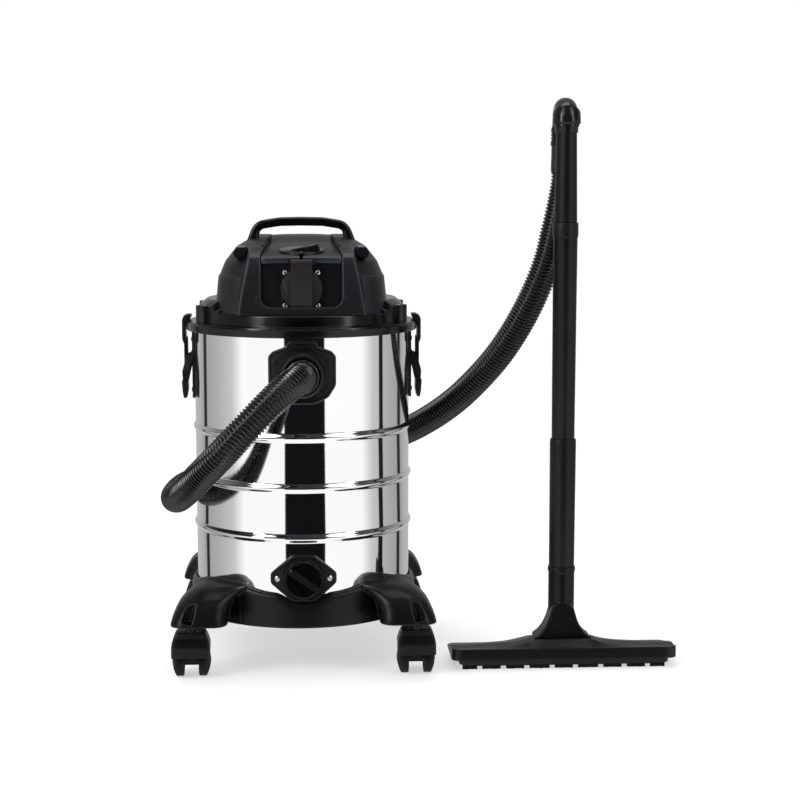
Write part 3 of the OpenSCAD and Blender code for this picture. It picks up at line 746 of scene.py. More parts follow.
lid_base, lid_shelves = lid()
RAMP_HALF = 15.5
ramps = []
for mirror in (Matrix.Identity(4), MIRROR_X):
    wedge = prism([(156.5, RIM_TOP), (RIM_R, RIM_TOP - 7.8), (166, RIM_TOP - 7.8), (166, 478), (156.5, 478)],
                  -RAMP_HALF, RAMP_HALF)
    turned = moved(wedge, Matrix.Rotation(math.radians(90), 4, "X"))
    ramps.append(raw("ramp", turned, AT_TANK @ mirror))
combine(lid_base, ramps, "DIFFERENCE")
for shelf_piece in lid_shelves:
    soften(shelf_piece, 0.9, 2)
BOSSES = [(x * 132, y * 45) for x in (-1, 1) for y in (-1, 1)]
boss_outline = fillet([(0, RIM_TOP, 0), (13.2, RIM_TOP, 0), (13.2, 495.8, 1.6), (8.6, 495.8, 0.5),
                       (8.2, 493.9, 0.5),
                       (0, 493.9, 0)], 3)
boss_parts = [raw("boss", moved(lathe(boss_outline, 56), Matrix.Translation((x, y, 0)))) for x, y in BOSSES]
join([lid_base] + lid_shelves + boss_parts)
dress(lid_base, "head", "gloss_black", ("lid_base",), sharp=28)


# ---------------------------------------------------------------- head: cover, console and handle
# Cover sections: height, half width, half depth, distance behind the axis, corner radius
COVER = [
    (486.5, 118, 119, 0, 72), (510, 116.2, 117.4, 0, 72), (536, 113.6, 114.8, 0, 70),
    (538.6, 111.4, 112.2, 0, 69),
    (556, 104.3, 103, 2, 66), (574, 90, 89, 7, 60), (584, 73, 69, 15, 50), (588, 57, 52, 24, 40),
    (589.5, 40, 34, 30, 30),
]
COVER_SKIN = 3
RECESS_HALF = 54


def cover_ring(level, inset=0.0):
    z, half_w, half_d, behind, radius = level
    outline = rounded_rect(half_w - inset, half_d - inset, radius - inset, 0, behind, 20, 10)
    return [(x, y, z - inset) for x, y in outline]


# Band of a pillar, front foot to back: y, z, inner |x|, outer |x|
PILLAR = [
    (-122.5, 486.5, 54, 86), (-121, 500, 54, 84), (-118, 520, 54, 80.5), (-114, 542, 54, 76),
    (-110.5, 555, 54, 73.2),
    (-106.5, 563, 54, 72.2), (-99, 569, 54, 72), (-88, 572.3, 53.5, 72), (-55, 577, 50.5, 73),
    (-20, 582, 47.5, 74),
    (10, 586, 45, 73), (38, 589.6, 42.8, 70), (58, 589.5, 41, 66), (76, 586, 40, 61), (92, 579, 40, 55),
]
PILLAR_DEEP = 12


def pillar_rings(side):
    rings = []
    for i, (y, z, inner, outer) in enumerate(PILLAR):
        ahead = PILLAR[min(i + 1, len(PILLAR) - 1)]
        behind = PILLAR[max(i - 1, 0)]
        run, rise = ahead[0] - behind[0], ahead[1] - behind[1]
        size = math.hypot(run, rise)
        inward = (rise / size, -run / size)
        ring = []
        section = [(inner, 0, 1.5), (outer, 0, 3.5), (outer + 2, PILLAR_DEEP, 0), (inner, PILLAR_DEEP, 0)]
        for x, depth in fillet(section, 4):
            ring.append((side * x, y + inward[0] * depth, z + inward[1] * depth))
        rings.append(ring)
    return rings


def sill():
    """The bar under the recess, with rounded corners up into both pillars."""
    r = 13
    corners = [(-60, 486.5, 0), (60, 486.5, 0), (60, 512, 0), (RECESS_HALF, 512, 0)]
    outline = [c[:2] for c in corners]
    for k in range(9):
        a = math.radians(-90 * k / 8)
        outline.append((RECESS_HALF - r + r * math.cos(a), 497.5 + r + r * math.sin(a)))
    outline += [(-x, z) for x, z in reversed(outline[4:])]
    outline += [(-RECESS_HALF, 512), (-60, 512)]
    rings = []
    for lean, depth in ((-0.085, -122.5), (-0.085, -109)):
        rings.append([(x, depth - lean * (z - 486.5) * 1.2, z) for x, z in outline])
    return loft(rings)


def cover():
    dome = raw("dome", loft([cover_ring(level) for level in COVER]))
    hollow_levels = [(480.0, 118, 119, 0, 72)] + COVER
    hollow = raw("hollow", loft([cover_ring(level, COVER_SKIN) for level in hollow_levels]))
    channel = raw("channel", block(-RECESS_HALF, RECESS_HALF, -140, -60, 497.5, 620))
    deck_cut = raw("deck_cut", loft([
        [(-RECESS_HALF, -112, z0), (RECESS_HALF, -112, z0), (RECESS_HALF, -112, 620),
         (-RECESS_HALF, -112, 620)]
        if y == -112 else
        [(-half, y, z0), (half, y, z0), (half, y, 620), (-half, y, 620)]
        for y, half, z0 in ((-112, 54, 540), (-60, 51, 560), (-20, 47.5, 566), (44, 42.3, 576),
                            (62, 41, 586))]))
    combine(dome, [hollow, channel, deck_cut], "DIFFERENCE")
    parts = [dome]
    for side in (-1, 1):
        parts.append(raw("pillar", loft(pillar_rings(side))))
    parts.append(raw("sill", sill()))
    body = join(parts)
    melt(body, 1.1, 0)
    cutters = [
        raw("port", lathe([(0, 95), (21.8, 95), (21.8, 150), (0, 150)], 48),
            AT_TANK @ Matrix.Translation((0, 0, 520)) @ Matrix.Rotation(math.radians(-90), 4, "X")),
        raw("cord_port", lathe([(0, 90), (8, 90), (8, 150), (0, 150)], 32),
            AT_TANK @ Matrix.Translation((66, 0, 505)) @ Matrix.Rotation(math.radians(-90), 4, "X")),
    ]
    for side in (-1, 1):
        for i in range(5):
            y = -24 + 12 * i
            cutters.append(raw("slot", block(side * 111 - 12, side * 111 + 12, y - 2.5, y + 2.5, 512, 528)))
    combine(body, cutters, "DIFFERENCE")
    melt(body, 1.1, 3, 0.35)
    return dress(body, "head", "charcoal_plastic", ("head_cover",), sharp=0)


head_cover = cover()


def console_face():
    """The near-black panel at the back of the recess."""
    outer = [(-113.5, 490), (-105.2, 548), (-104, 556), (-101, 559)]
    inner = [(-98, 557), (-101.5, 548), (-110, 490)]
    xs = [RECESS_HALF * k / 12 for k in range(-12, 13)]
    # the panel bows back a little towards its sides
    return loft([[(x, y + 3.0 * (x / RECESS_HALF) ** 4, z) for y, z in outer + inner] for x in xs])


piece("console_face", console_face(), "head", "gloss_black", sharp=40)

# Deck centre line: y, z, half width
DECK = [
    (-103.8, 553.6, 53.4), (-107.3, 555.6, 53.4), (-108.6, 559, 53.4), (-107.3, 562.3, 53.4),
    (-103, 564.6, 53.3),
    (-95, 566.2, 53), (-60, 570.6, 50), (-25, 575, 47.3), (5, 577.5, 45), (26, 580, 43.2), (36, 584.6, 42.6),
    (44, 586.8, 42), (62, 588.4, 41),
]
DECK_SKIN = 3


def deck():
    rings = []
    for y, z, half in DECK:
        xs = [half * k / 8 for k in range(-8, 9)]
        top = [(x, y, z + 0.9 * (1 - (x / half) ** 2)) for x in xs]
        low = [(x, y + (DECK_SKIN if z < 563 else 0),
                z - (DECK_SKIN if z >= 563 else 0)) for x in reversed(xs)]
        rings.append(top + low)
    return loft(rings)


deck_panel = raw("console_deck", deck())
notch = raw("notch", block(-2.4, 2.4, -125, -92, 540, 572))
combine(deck_panel, [notch], "DIFFERENCE")
soften(deck_panel, 0.5, 2, 40)
dress(deck_panel, "head", "charcoal_plastic", ("console",), sharp=35)


def carry_handle():
    """A bar on two legs that spread a little, as one loft along its centre line."""
    corners = [(-69.5, 574, 0), (-61.5, 603.4, 17), (-30, 608.4, 40), (0, 609, 80), (30, 608.4, 40),
               (61.5, 603.4, 17),
               (69.5, 574, 0)]
    path = [Vector((x, 0, z)) for x, z in fillet(corners, 8)]
    across = Vector((0, 1, 0))
    rings = []
    for i, p in enumerate(path):
        t = (path[min(i + 1, len(path) - 1)] - path[max(i - 1, 0)]).normalized()
        left = across.cross(t).normalized()
        low = max(0.0, min(1.0, (598 - p.z) / 22))
        section = rounded_rect(13 + 1.4 * low, 6.0 + 2.4 * low, 4.4, 0, 0, 6, 2)
        rings.append([p + across * u + left * v for u, v in section])
    return loft(rings)


handle = raw("carry_handle_skin", carry_handle())
dress(handle, "head", "gloss_black", ("carry_handle",), sharp=45)


def vent_block(side):
    """Air outlet beside a pillar: a low box with a chamfered shoulder and three fine slots in its front."""
    outline = fillet([(74.5, 563, 1), (89.5, 563, 1.5), (91.6, 565.5, 2), (91.6, 570, 2.5), (86.5, 577.2, 3),
                      (74.5, 577.2, 1)], 5)
    rings = []
    cx, cz = 83, 570
    for y, grow in ((-89.6, -1.2), (-88.4, 0), (-86.6, 0), (-86.4, -0.8), (-85.4, -0.8), (-85.2, 0),
                    (-83.4, 0),
                    (-83.2, -0.8), (-82.2, -0.8), (-82, 0), (-52, 0)):
        k = 1 + grow / 9
        rings.append([(side * (cx + (x - cx) * k), y, cz + (z - cz) * k) for x, z in outline])
    return loft(rings)


for side, side_name in ((-1, "left"), (1, "right")):
    piece(f"vent_block_{side_name}", vent_block(side), "head", "gloss_black", sharp=25)


# ---------------------------------------------------------------- plates and fittings on the tank's front
def ray_radius(outline, angle):
    """How far from the centre an outline lies in one direction."""
    dx, dy = math.cos(angle), math.sin(angle)
    best = 0.0
    for (x0, y0), (x1, y1) in zip(outline, outline[1:] + outline[:1]):
        ex, ey = x1 - x0, y1 - y0
        cross = dx * ey - dy * ex
        if abs(cross) < 1e-9:
            continue
        along, part = (x0 * ey - y0 * ex) / cross, (x0 * dy - y0 * dx) / cross
        if along > 0 and -1e-6 <= part <= 1 + 1e-6:
            best = max(best, along)
    return best


def bent_plate(outline, hole, thick, count=240):
    """A moulded plate that hugs the tank: bevelled border, a fine groove inside it, and a round hole."""
    angles = [2 * math.pi * k / count for k in range(count)]
    reach = [ray_radius(outline, a) for a in angles]
    border = [(0.0, 0.5), (0.0, thick - 1.8), (-0.5, thick - 0.7), (-1.7, thick), (-3.4, thick),
              (-3.9, thick - 0.7),
              (-4.5, thick - 0.7), (-5.0, thick)]
    rings = []
    for inset, height in border:
        rings.append([((r + inset) * math.cos(a), (r + inset) * math.sin(a), height)
                      for r, a in zip(reach, angles)])
    for t in (0.3, 0.6, 0.85, 1.0):
        ring = []
        for r, a in zip(reach, angles):
            at = (r - 5) * (1 - t) + hole * t
            ring.append((at * math.cos(a), at * math.sin(a), thick))
        rings.append(ring)
    rings.append([(hole * math.cos(a), hole * math.sin(a), 0.5) for a in angles])
    vertices, faces = loft(rings, closed=True)
    bent = []
    for x, y, height in vertices:
        a = x / TANK_R
        bent.append(((TANK_R + height) * math.sin(a), y, (TANK_R + height) * math.cos(a)))
    return bent, faces


def inlet_outline():
    corners = [(-17, 44.5, 5), (17, 44.5, 5), (20, 37.5, 4), (38, 31, 6), (44, 24, 7), (44, -15, 14),
               (34, -31, 14), (15, -39.5, 16),
               (-15, -39.5, 16), (-34, -31, 14), (-44, -15, 14), (-44, 24, 7), (-38, 31, 6), (-20, 37.5, 4)]
    return fillet(corners, 6)


piece("inlet_plate_skin", bent_plate(inlet_outline(), 29.5, 7.2), "tank", "satin_black", at_front(INLET_Z),
      ("inlet_plate",), sharp=30)
collar_outline = fillet([(21, 142, 0.5), (23.4, 142, 0.5), (23.4, 150.6, 0.3), (30, 150.6, 0.5),
                         (30, 168, 1.2),
                         (28.4, 170.5, 0.8), (28.4, 174.5, 1.4), (24.4, 176, 0.8), (23.6, 172, 0.6),
                         (21, 171, 0.8)], 4)
collar = lathe(collar_outline, 120)
tabs = []
for side in (-1, 1):
    tab = fillet([(side * 28, -6, 0.5), (side * 33, -5, 1.6), (side * 33, 5, 1.6), (side * 28, 6, 0.5)], 4)
    tabs.append(prism(tab, 165, 173))
piece("inlet_collar_skin", merged(collar, *tabs), "tank", "satin_black", at_front(INLET_Z), ("inlet_collar",),
      30)

drain_corners = [(-44, 7, 7), (-44, -7, 7), (-15, -31.5, 9), (15, -31.5, 9), (44, -7, 7), (44, 7, 7),
                 (15, 31.5, 9),
                 (-15, 31.5, 9)]
piece("drain_plate_skin", bent_plate(fillet(drain_corners, 6), 27.6, 5.4), "tank", "satin_black",
      at_front(DRAIN_Z),
      ("drain_plate",), 30)
boss = fillet([(13, 136, 0.4), (16.5, 136, 0.5), (16.5, 149, 0.5), (27.7, 149, 0.5), (27.7, 156.8, 0.8),
               (26.6, 158, 0.5),
               (13, 158, 0.5)], 3)
piece("drain_boss", lathe(boss, 96), "tank", "satin_black", at_front(DRAIN_Z), sharp=30)


def drain_cap():
    """Bayonet cap: milled edge, sunk face and a bar to turn it by."""
    lobes, steps = 36, 288
    profile = [(12.9, 147), (12.9, 158.3), (25.2, 158.4), (26.2, 159.3), (26.2, 164), (25.2, 165.3),
               (23.4, 165.5),
               (22.6, 164.1), (0, 164.1), (0, 147)]
    vertices, faces = lathe(profile, steps)
    shaped = []
    for x, y, z in vertices:
        r = math.hypot(x, y)
        if r > 25 and 159 < z < 164.5:
            cut = 0.75 * max(0.0, math.cos(lobes * math.atan2(y, x))) ** 2
            x, y = x * (r - cut) / r, y * (r - cut) / r
        shaped.append((x, y, z))
    bar = fillet([(-23, -5.4, 3), (23, -5.4, 3), (23, 5.4, 3), (-23, 5.4, 3)], 5)
    top = [(x * 0.97, y * 0.55) for x, y in bar]
    grip = loft([[(x, y, 163.5) for x, y in bar], [(x, y * 0.82, 167.5) for x, y in bar],
                 [(x, y, 171.6) for x, y in top], [(x * 0.98, y * 0.8, 172.8) for x, y in top]])
    return merged((shaped, faces), moved(grip, Matrix.Rotation(math.radians(-35), 4, "Z")))


piece("drain_cap_skin", drain_cap(), "drain_cap", "gloss_black", at_front(DRAIN_Z), ("drain_cap",), 28)

# ---------------------------------------------------------------- dolly
CASTER_AT = 152
BASE_BOTTOM = 67.5
# Top of the skirt by angle from straight ahead, in degrees
SKIRT_TOP = [(0, 102), (6, 104.8), (9, 108.5), (13, 114.1), (21, 116.2), (26, 118.6), (31, 122.6),
             (34, 123.4),
             (56, 123.4), (64, 120.3), (72, 114.3), (80, 110.5), (90, 109)]


def skirt_ring():
    rings = []
    steps = 240
    for k in range(steps):
        turn = 360 * k / steps
        from_front = min(turn, 360 - turn)
        key = from_front if from_front <= 90 else 180 - from_front
        top = lerp_table(SKIRT_TOP, key)[0]
        a = math.radians(turn - 90)
        section = [(150.6, BASE_BOTTOM + 6), (153, BASE_BOTTOM), (158, BASE_BOTTOM), (158, top - 9),
                   (157.2, top - 4.5),
                   (154.6, top - 1.2), (152.5, top), (150.6, top - 0.3)]
        rings.append([(r * math.cos(a), r * math.sin(a), z) for r, z in section])
    return loft(rings, closed=True)


# Corner pods: height, distance of their middle from both centre lines, half width, corner radius
POD = [(75, 140.5, 38.5, 19), (82, 139.8, 37.4, 20), (93, 136.6, 35.8, 22), (103, 131.8, 35.2, 24),
       (109.3, 125.6, 35.4, 26), (114, 119, 35.8, 27), (117.6, 112, 36.3, 28), (120, 105.5, 36, 27),
       (121.2, 100, 34.5, 26)]


def base():
    parts = [raw("skirt", skirt_ring())]
    parts.append(raw("deck", lathe([(0, 88), (156, 88), (156, 93.6), (0, 93.6)], 96)))
    for sx in (-1, 1):
        for sy in (-1, 1):
            rings = [[(sx * x, sy * y, z) for x, y in rounded_rect(half, half, corner, at, at, 10, 6)]
                     for z, at, half, corner in POD]
            parts.append(raw("pod", loft(rings)))
    body = join(parts)
    melt(body, 1.4, 0)
    cutters = [raw("well", lathe([(0, 93.9), (150.5, 93.9), (150.5, 160), (0, 160)], 192)),
               raw("middle", lathe([(0, 60), (70, 60), (70, 100), (0, 100)], 96))]
    for sx in (-1, 1):
        for sy in (-1, 1):
            lean = Matrix.Translation((sx * 151, sy * 173, 99)) @ Matrix.Rotation(math.radians(-16 * sx), 4,
                                                                                  "Y")
            mouth, floor_at = 8.2, 5.4
            depths = ((-15, mouth), (9, floor_at)) if sy < 0 else ((-9, floor_at), (15, mouth))
            pocket = loft([[(x, y, z) for x, z in rounded_rect(half_x, half_x + 12.5, 2.2, 0, 0, 4, 2)]
                           for y, half_x in depths])
            cutters.append(raw("pocket", moved(pocket, lean)))
            stem = lathe([(0, 60), (9, 60), (9, 100), (0, 100)], 32)
            cutters.append(raw("stem_hole", moved(stem, Matrix.Translation((sx * CASTER_AT, sy * CASTER_AT,
                                                                            0)))))
            for turn in (54, 57.5):
                a = math.radians(turn if sx > 0 else 180 - turn)
                groove = moved(block(-1.1, 1.1, -1.5, 1.5, 60, 121),
                               Matrix.Translation((158.6 * math.cos(a), sy * 158.6 * math.sin(a), 0))
                               @ Matrix.Rotation(sy * (a - math.pi / 2), 4, "Z"))
                cutters.append(raw("groove", groove))
    combine(body, cutters, "DIFFERENCE")
    melt(body, 1.2, 4, 0.3)
    return dress(body, "tank", "satin_black", ("base_frame",), sharp=0)


base()


# ---------------------------------------------------------------- casters
def at_caster(sx, sy):
    return (AT_TANK @ Matrix.Translation((sx * CASTER_AT, sy * CASTER_AT, 0))
            @ Matrix.Rotation(0 if sy < 0 else math.pi, 4, "Z"))


WHEEL_R = 22
TRAIL = 15
AXLE = Matrix.Translation((0, TRAIL, WHEEL_R)) @ Matrix.Rotation(math.radians(90), 4, "Y")


IN_MM = Matrix.Scale(MM, 4)
FENDER_HALF = 20.4
HUB_AT = 19.7


def hood_mesh():
    arch = [(0, -FENDER_HALF), (26.2, -FENDER_HALF), (27, -19.4), (27, 19.4), (26.2, FENDER_HALF),
            (0, FENDER_HALF)]
    fender = raw("fender", moved(lathe(arch, 96), AXLE), IN_MM)
    # the crown narrows towards the stem: height, half width, how far its ends draw in
    crown = [(30, 26.2, 0), (40, 26.2, 0), (46, 25.9, 0.2), (51, 25, 0.6), (56, 23.4, 1.4), (60.5, 21.6, 2.4),
             (63.6, 20, 3.6), (64.9, 18, 5.4)]
    top = raw("top", loft([[(x, y, z) for x, y in rounded_rect(half, 16.75 - ends, 3.6, 0, 5.25)]
                           for z, half, ends in crown]), IN_MM)
    stem = raw("stem", lathe([(0, 60), (6.4, 60), (6.4, 86), (0, 86)], 40), IN_MM)
    combine(fender, [top, stem], "UNION")
    cuts = [block(-30, 30, -60, 60, -20, 18), block(-30, 30, -60, 2, -20, 30)]
    for s in (-1, 1):
        low, high = s * HUB_AT - 10, s * HUB_AT + 10
        cuts.append(moved(lathe([(0, low), (23.2, low), (23.2, high), (0, high)], 64), AXLE))
        cuts.append(block(low, high, -60, 60, -20, WHEEL_R))
    cuts.append(moved(lathe([(0, -30), (3.1, -30), (3.1, 30), (0, 30)], 24), AXLE))
    combine(fender, [raw("cut", c, IN_MM) for c in cuts], "DIFFERENCE")
    return soften(fender, 1.0, 3, 25)


def wheel_geometry(s):
    """Twin wheel: grooved tread, domed disc with five sunk fields and a hub cap."""
    profile = [(3.1, 10.6), (9, 10.6), (9, 12), (18.5, 12), (19.5, 10.4), (21.2, 10.4), (22, 11.4),
               (22, 14.3), (21.5, 14.7),
               (21.5, 15.5), (22, 15.9), (22, 18.9), (21.4, 20.4), (20.3, 21.2), (19.6, 21.1), (18.6, 22.0),
               (16.5, 22.9),
               (13.5, 23.9), (10.5, 24.7), (8.6, 25.1), (8.2, 24.6), (7.6, 24.6), (7.2, 25.3), (4, 26),
               (3.1, 26)]
    vertices, faces = lathe(profile, 120)
    shaped = []
    for x, y, z in vertices:
        r = math.hypot(x, y)
        if 9 < r < 18 and z > 20:
            field = max(0.0, math.cos(5 * math.atan2(y, x)))
            z -= 1.5 * min(1, field * 3) * math.sin(math.pi * (r - 9) / 9)
        shaped.append((x, y, s * z))
    return moved((shaped, faces), AXLE)


hood_source = hood_mesh()
for sx, sx_name in ((-1, "left"), (1, "right")):
    for sy, sy_name in ((-1, "front"), (1, "rear")):
        corner = f"{sy_name}_{sx_name}"
        shell = bpy.data.objects.new(f"hood_{corner}", hood_source.data.copy())
        bpy.context.scene.collection.objects.link(shell)
        shell.data.transform(at_caster(sx, sy) @ Matrix.Scale(1 / MM, 4))
        dress(shell, f"caster_{corner}", "satin_black", (f"caster_hood_{corner}",), 35)
        piece(f"wheel_{corner}", merged(wheel_geometry(-1), wheel_geometry(1)), f"wheels_{corner}",
              "wheel_rubber",
              at_caster(sx, sy), (f"caster_wheels_{corner}",), 35)
drop(hood_source)

# ---------------------------------------------------------------- latches, switch and outlet
for side_name in ("left", "right"):
    softened_copy(f"latch_lever_{side_name}", f"lever_{side_name}", "satin_black", 0.9, 3)
    softened_copy(f"latch_hook_{side_name}", f"hook_{side_name}", "satin_black", 0.9, 3)
softened_copy("latch_brackets", "tank", "satin_black", 0.6, 2)
softened_copy("socket_plate", "head", "gloss_black", 0.5, 2)
softened_copy("socket_flap", "flap", "flap_plastic", 0.7, 3)
softened_copy("blower_port", "head", "satin_black", 0.8, 3)
softened_copy("cord_gland", "head", "satin_black", 0.8, 3)

ON_DECK = at_tilted(0, -70, 565.6, 7)


def knob():
    disc = fillet([(0, 0.6, 0), (31.5, 0.6, 0.5), (31.5, 3, 0.3), (30.4, 3.4, 0.3), (30.4, 6.8, 1.1),
                   (0, 7, 0)], 4)
    wedge_side = [(-21, 6), (25.5, 6), (25, 9.6), (22.4, 14.6), (20.6, 15), (14, 12.6)]
    rings = []
    cx, cz = 12, 10
    for y, inset in ((-5.4, 1.2), (-4.6, 0), (4.6, 0), (5.4, 1.2)):
        k = 1 - inset / 12
        rings.append([(cx + (x - cx) * k, y, cz + (z - cz) * k) for x, z in wedge_side])
    pointer = block(-1.3, 1.3, -31.9, -20, 4.0, 7.4)
    shaft = lathe([(0, -18), (3.9, -18), (3.9, 1), (0, 1)], 32)
    return merged(lathe(disc, 120), loft(rings), pointer, shaft)


piece("knob_skin", knob(), "knob", "gloss_black", ON_DECK, ("switch_knob",), 30)

# ---------------------------------------------------------------- wand
def tube(name, profile, node):
    return piece(name, lathe(profile, 96), "wand", "satin_black", AT_WAND, (node,), 30)


tube("upper_tube_skin", fillet([(13, 596.5, 0.3), (14.9, 596.5, 0.5), (14.9, 608, 0.2), (15.7, 610, 0.5),
                                (15.5, 620, 3),
                                (13.9, 728, 2), (13.9, 735, 0.5), (13, 735, 0.3)], 3), "upper_tube")
tube("lower_tube_skin", fillet([(13, 300.5, 0.3), (15.1, 300.5, 0.5), (15.1, 314.2, 0.2), (15.7, 314.3, 0.3),
                                (16.5, 588, 1),
                                (17.5, 590.5, 0.8), (17.5, 609, 0.9), (15.05, 609, 0.5), (15.05, 597, 0.4),
                                (13, 596, 0.4)], 3), "lower_tube")
tube("extension_skin", fillet([(13, 122.5, 0.3), (15.1, 122.5, 0.5), (15.1, 136.1, 0.2), (17.5, 136.2, 0.4),
                               (18, 308, 1),
                               (17.6, 314, 1.2), (15.3, 314, 0.5), (15.3, 301, 0.4), (13, 299, 0.4)], 3),
                               "extension_tube")

ELBOW_Z = 737
ELBOW_BEND = 24
ELBOW_R = 16.9
ELBOW_TURN = -3.6


def elbow():
    path = []
    for k in range(41):
        a = math.pi * k / 40
        path.append(Vector((0, ELBOW_BEND - ELBOW_BEND * math.cos(a), ELBOW_Z + ELBOW_BEND * math.sin(a))))
    rings, band = [], []
    for k, (p, (t, side, other)) in enumerate(zip(path, frames_along(path))):
        wide = ELBOW_R - 1.2 * max(0.0, min(1.0, (k - 9) / 4))
        rings.append([p + wide * (math.cos(a) * side + math.sin(a) * other)
                      for a in (2 * math.pi * j / 64 for j in range(64))])
    bend = loft(rings)
    # the swivel ring sits on the first part of the bend
    for at, radius in ((0, 17.3), (0.4, 18.4), (1, 18.9), (7.6, 18.9), (8.2, 18.5), (8.5, 17.3)):
        a = math.pi * at / 40
        middle = Vector((0, ELBOW_BEND - ELBOW_BEND * math.cos(a), ELBOW_Z + ELBOW_BEND * math.sin(a) + 3))
        up = Vector((0, -math.cos(a), math.sin(a)))
        band.append([middle + radius * (math.cos(w) * Vector((1, 0, 0)) + math.sin(w) * up)
                     for w in (2 * math.pi * j / 80 for j in range(80))])
    lip = fillet([(14, 729, 0.3), (15.4, 729, 0.5), (15.8, 741, 0.5), (14, 741.5, 0.2)], 3)
    ring = merged(loft(band), lathe(lip, 96))
    socket = [(14, 712.4, 0.4), (17.6, 712.4, 0.8), (17.6, 718, 0.4)]
    for k in range(3):
        z = 719.5 + 4.6 * k
        socket += [(16.4, z, 0.3), (16.4, z + 1.4, 0.3), (17.2, z + 2, 0.3), (17.2, z + 4, 0.3)]
    socket += [(17, 736, 0.8), (15.9, 738.5, 0.4), (14, 738.5, 0.3)]
    back = moved(lathe(fillet(socket, 3), 96), Matrix.Translation((0, 2 * ELBOW_BEND, 0)))
    return moved(merged(bend, ring, back), Matrix.Rotation(math.radians(ELBOW_TURN), 4, "Z"))


piece("elbow_skin", elbow(), "wand", "gloss_black", AT_WAND, ("wand_elbow",), 30)

# ---------------------------------------------------------------- floor tool
def tongue_outline():
    """Front of the neck: an arch on a flared foot."""
    right = [(15.6, 79), (17.6, 72), (20, 64), (23.4, 56), (28, 48.5), (33.5, 42.6), (38.8, 39)]
    turns = [math.radians(25 + 130 * k / 14) for k in range(15)]
    arch = [(16 * math.cos(a), 76 + 12.5 * math.sin(a)) for a in turns]
    right_line = [(p.x, p.y) for p in spline([(x, z, 0) for x, z in right], 4)]
    left_line = [(-x, z) for x, z in right_line]
    return right_line[::-1] + arch + left_line + [(-38.8, 28), (38.8, 28)]


def neck():
    outline = tongue_outline()
    slab = loft([[(x * k, y, z0 + (z - z0) * k) for x, z in outline]
                 for y, k, z0 in ((-20.2, 0.955, 28), (-19.4, 0.99, 28), (-17.6, 1, 28), (10, 1, 28),
                                  (15, 0.97, 28))])
    pipe = lathe(fillet([(0, 60, 0), (18, 60, 0.5), (18, 128, 0.5), (19, 129.5, 0.5), (19, 135.8, 1),
                         (0, 135.8, 0)], 3), 96)
    turn_across = Matrix.Translation((0, 0, 30)) @ Matrix.Rotation(math.radians(90), 4, "Y")
    barrel = moved(lathe([(0, -39), (8, -39), (9.6, -37.4), (13, -30), (13, 30), (9.6, 37.4), (8, 39),
                          (0, 39)], 64),
                   turn_across)
    shapes = (("slab", slab), ("pipe", pipe), ("barrel", barrel))
    body = join([raw(name, shape, AT_WAND) for name, shape in shapes])
    melt(body, 0.8, 0)
    socket = lathe([(0, 122.2), (15.3, 122.2), (15.3, 140), (0, 140)], 64)
    combine(body, [raw("socket", socket, AT_WAND)], "DIFFERENCE")
    melt(body, 0.8, 2, 0.35)
    pins = merged(*(moved(lathe([(0, x0), (3.9, x0), (3.9, x1), (0, x1)], 32), turn_across)
                    for x0, x1 in ((-42.9, -38), (38, 42.9))))
    join([body, raw("pins", pins, AT_WAND)])
    return dress(body, "wand", "satin_black", ("tool_neck",), sharp=0)


neck()

# Floor tool: a level front block, and a deck behind it that rises towards the neck and falls to the rear
TOOL_DEEP = 45
TOOL_BOTTOM = 14
TOOL_FRONT = 30.2
TOOL_SQUEEZE = 0.983
FOOT_HALF = 39.6
SOLE_TOP = 9
NOTCHES = [33.4 * (i - 3.5) for i in range(8)]
# Deck behind the front edge by distance from the middle: height near the front, and at the back
RIDGE = [(0, 39, 30), (36, 38.6, 29), (42, 38, 28), (50, 34.6, 26), (60, 32, 23.5), (75, 30.2, 20.5),
         (100, 29, 18.5),
         (146, 27.4, 16.6), (158, 27, 16.2)]


def tool_shell():
    rings = []
    stations = [-158, -157, -154, -149, -140, -120, -100, -80, -70, -62, -55, -50, -45, -39.7, -30, -15]
    for x in stations + [0] + [-s for s in reversed(stations)]:
        pinch = max(0.0, abs(x) - 147) / 11
        deep = TOOL_DEEP - 11 * (1 - math.sqrt(max(0.0, 1 - pinch ** 2)))
        ridge, back = lerp_table(RIDGE, abs(x))
        section = [(-deep + 1, TOOL_BOTTOM, 0.8), (-deep, TOOL_BOTTOM + 1, 0.8),
                   (-deep, TOOL_FRONT - 1.6, 1.2),
                   (-deep + 1.6, TOOL_FRONT, 1.2), (-deep + 7, TOOL_FRONT - 1.4, 2), (-26, ridge - 0.6, 3),
                   (-8, ridge, 6),
                   (14, (ridge + back) / 2 + 1, 6), (30, back, 6), (deep - 3, max(back - 2, 16.2), 2),
                   (deep, 15.9, 0.5),
                   (deep, TOOL_BOTTOM + 1, 0.6), (deep - 1, TOOL_BOTTOM, 0.6)]
        rings.append([(TOOL_SQUEEZE * x, y, z) for y, z in fillet(section, 4)])
    return loft(rings)


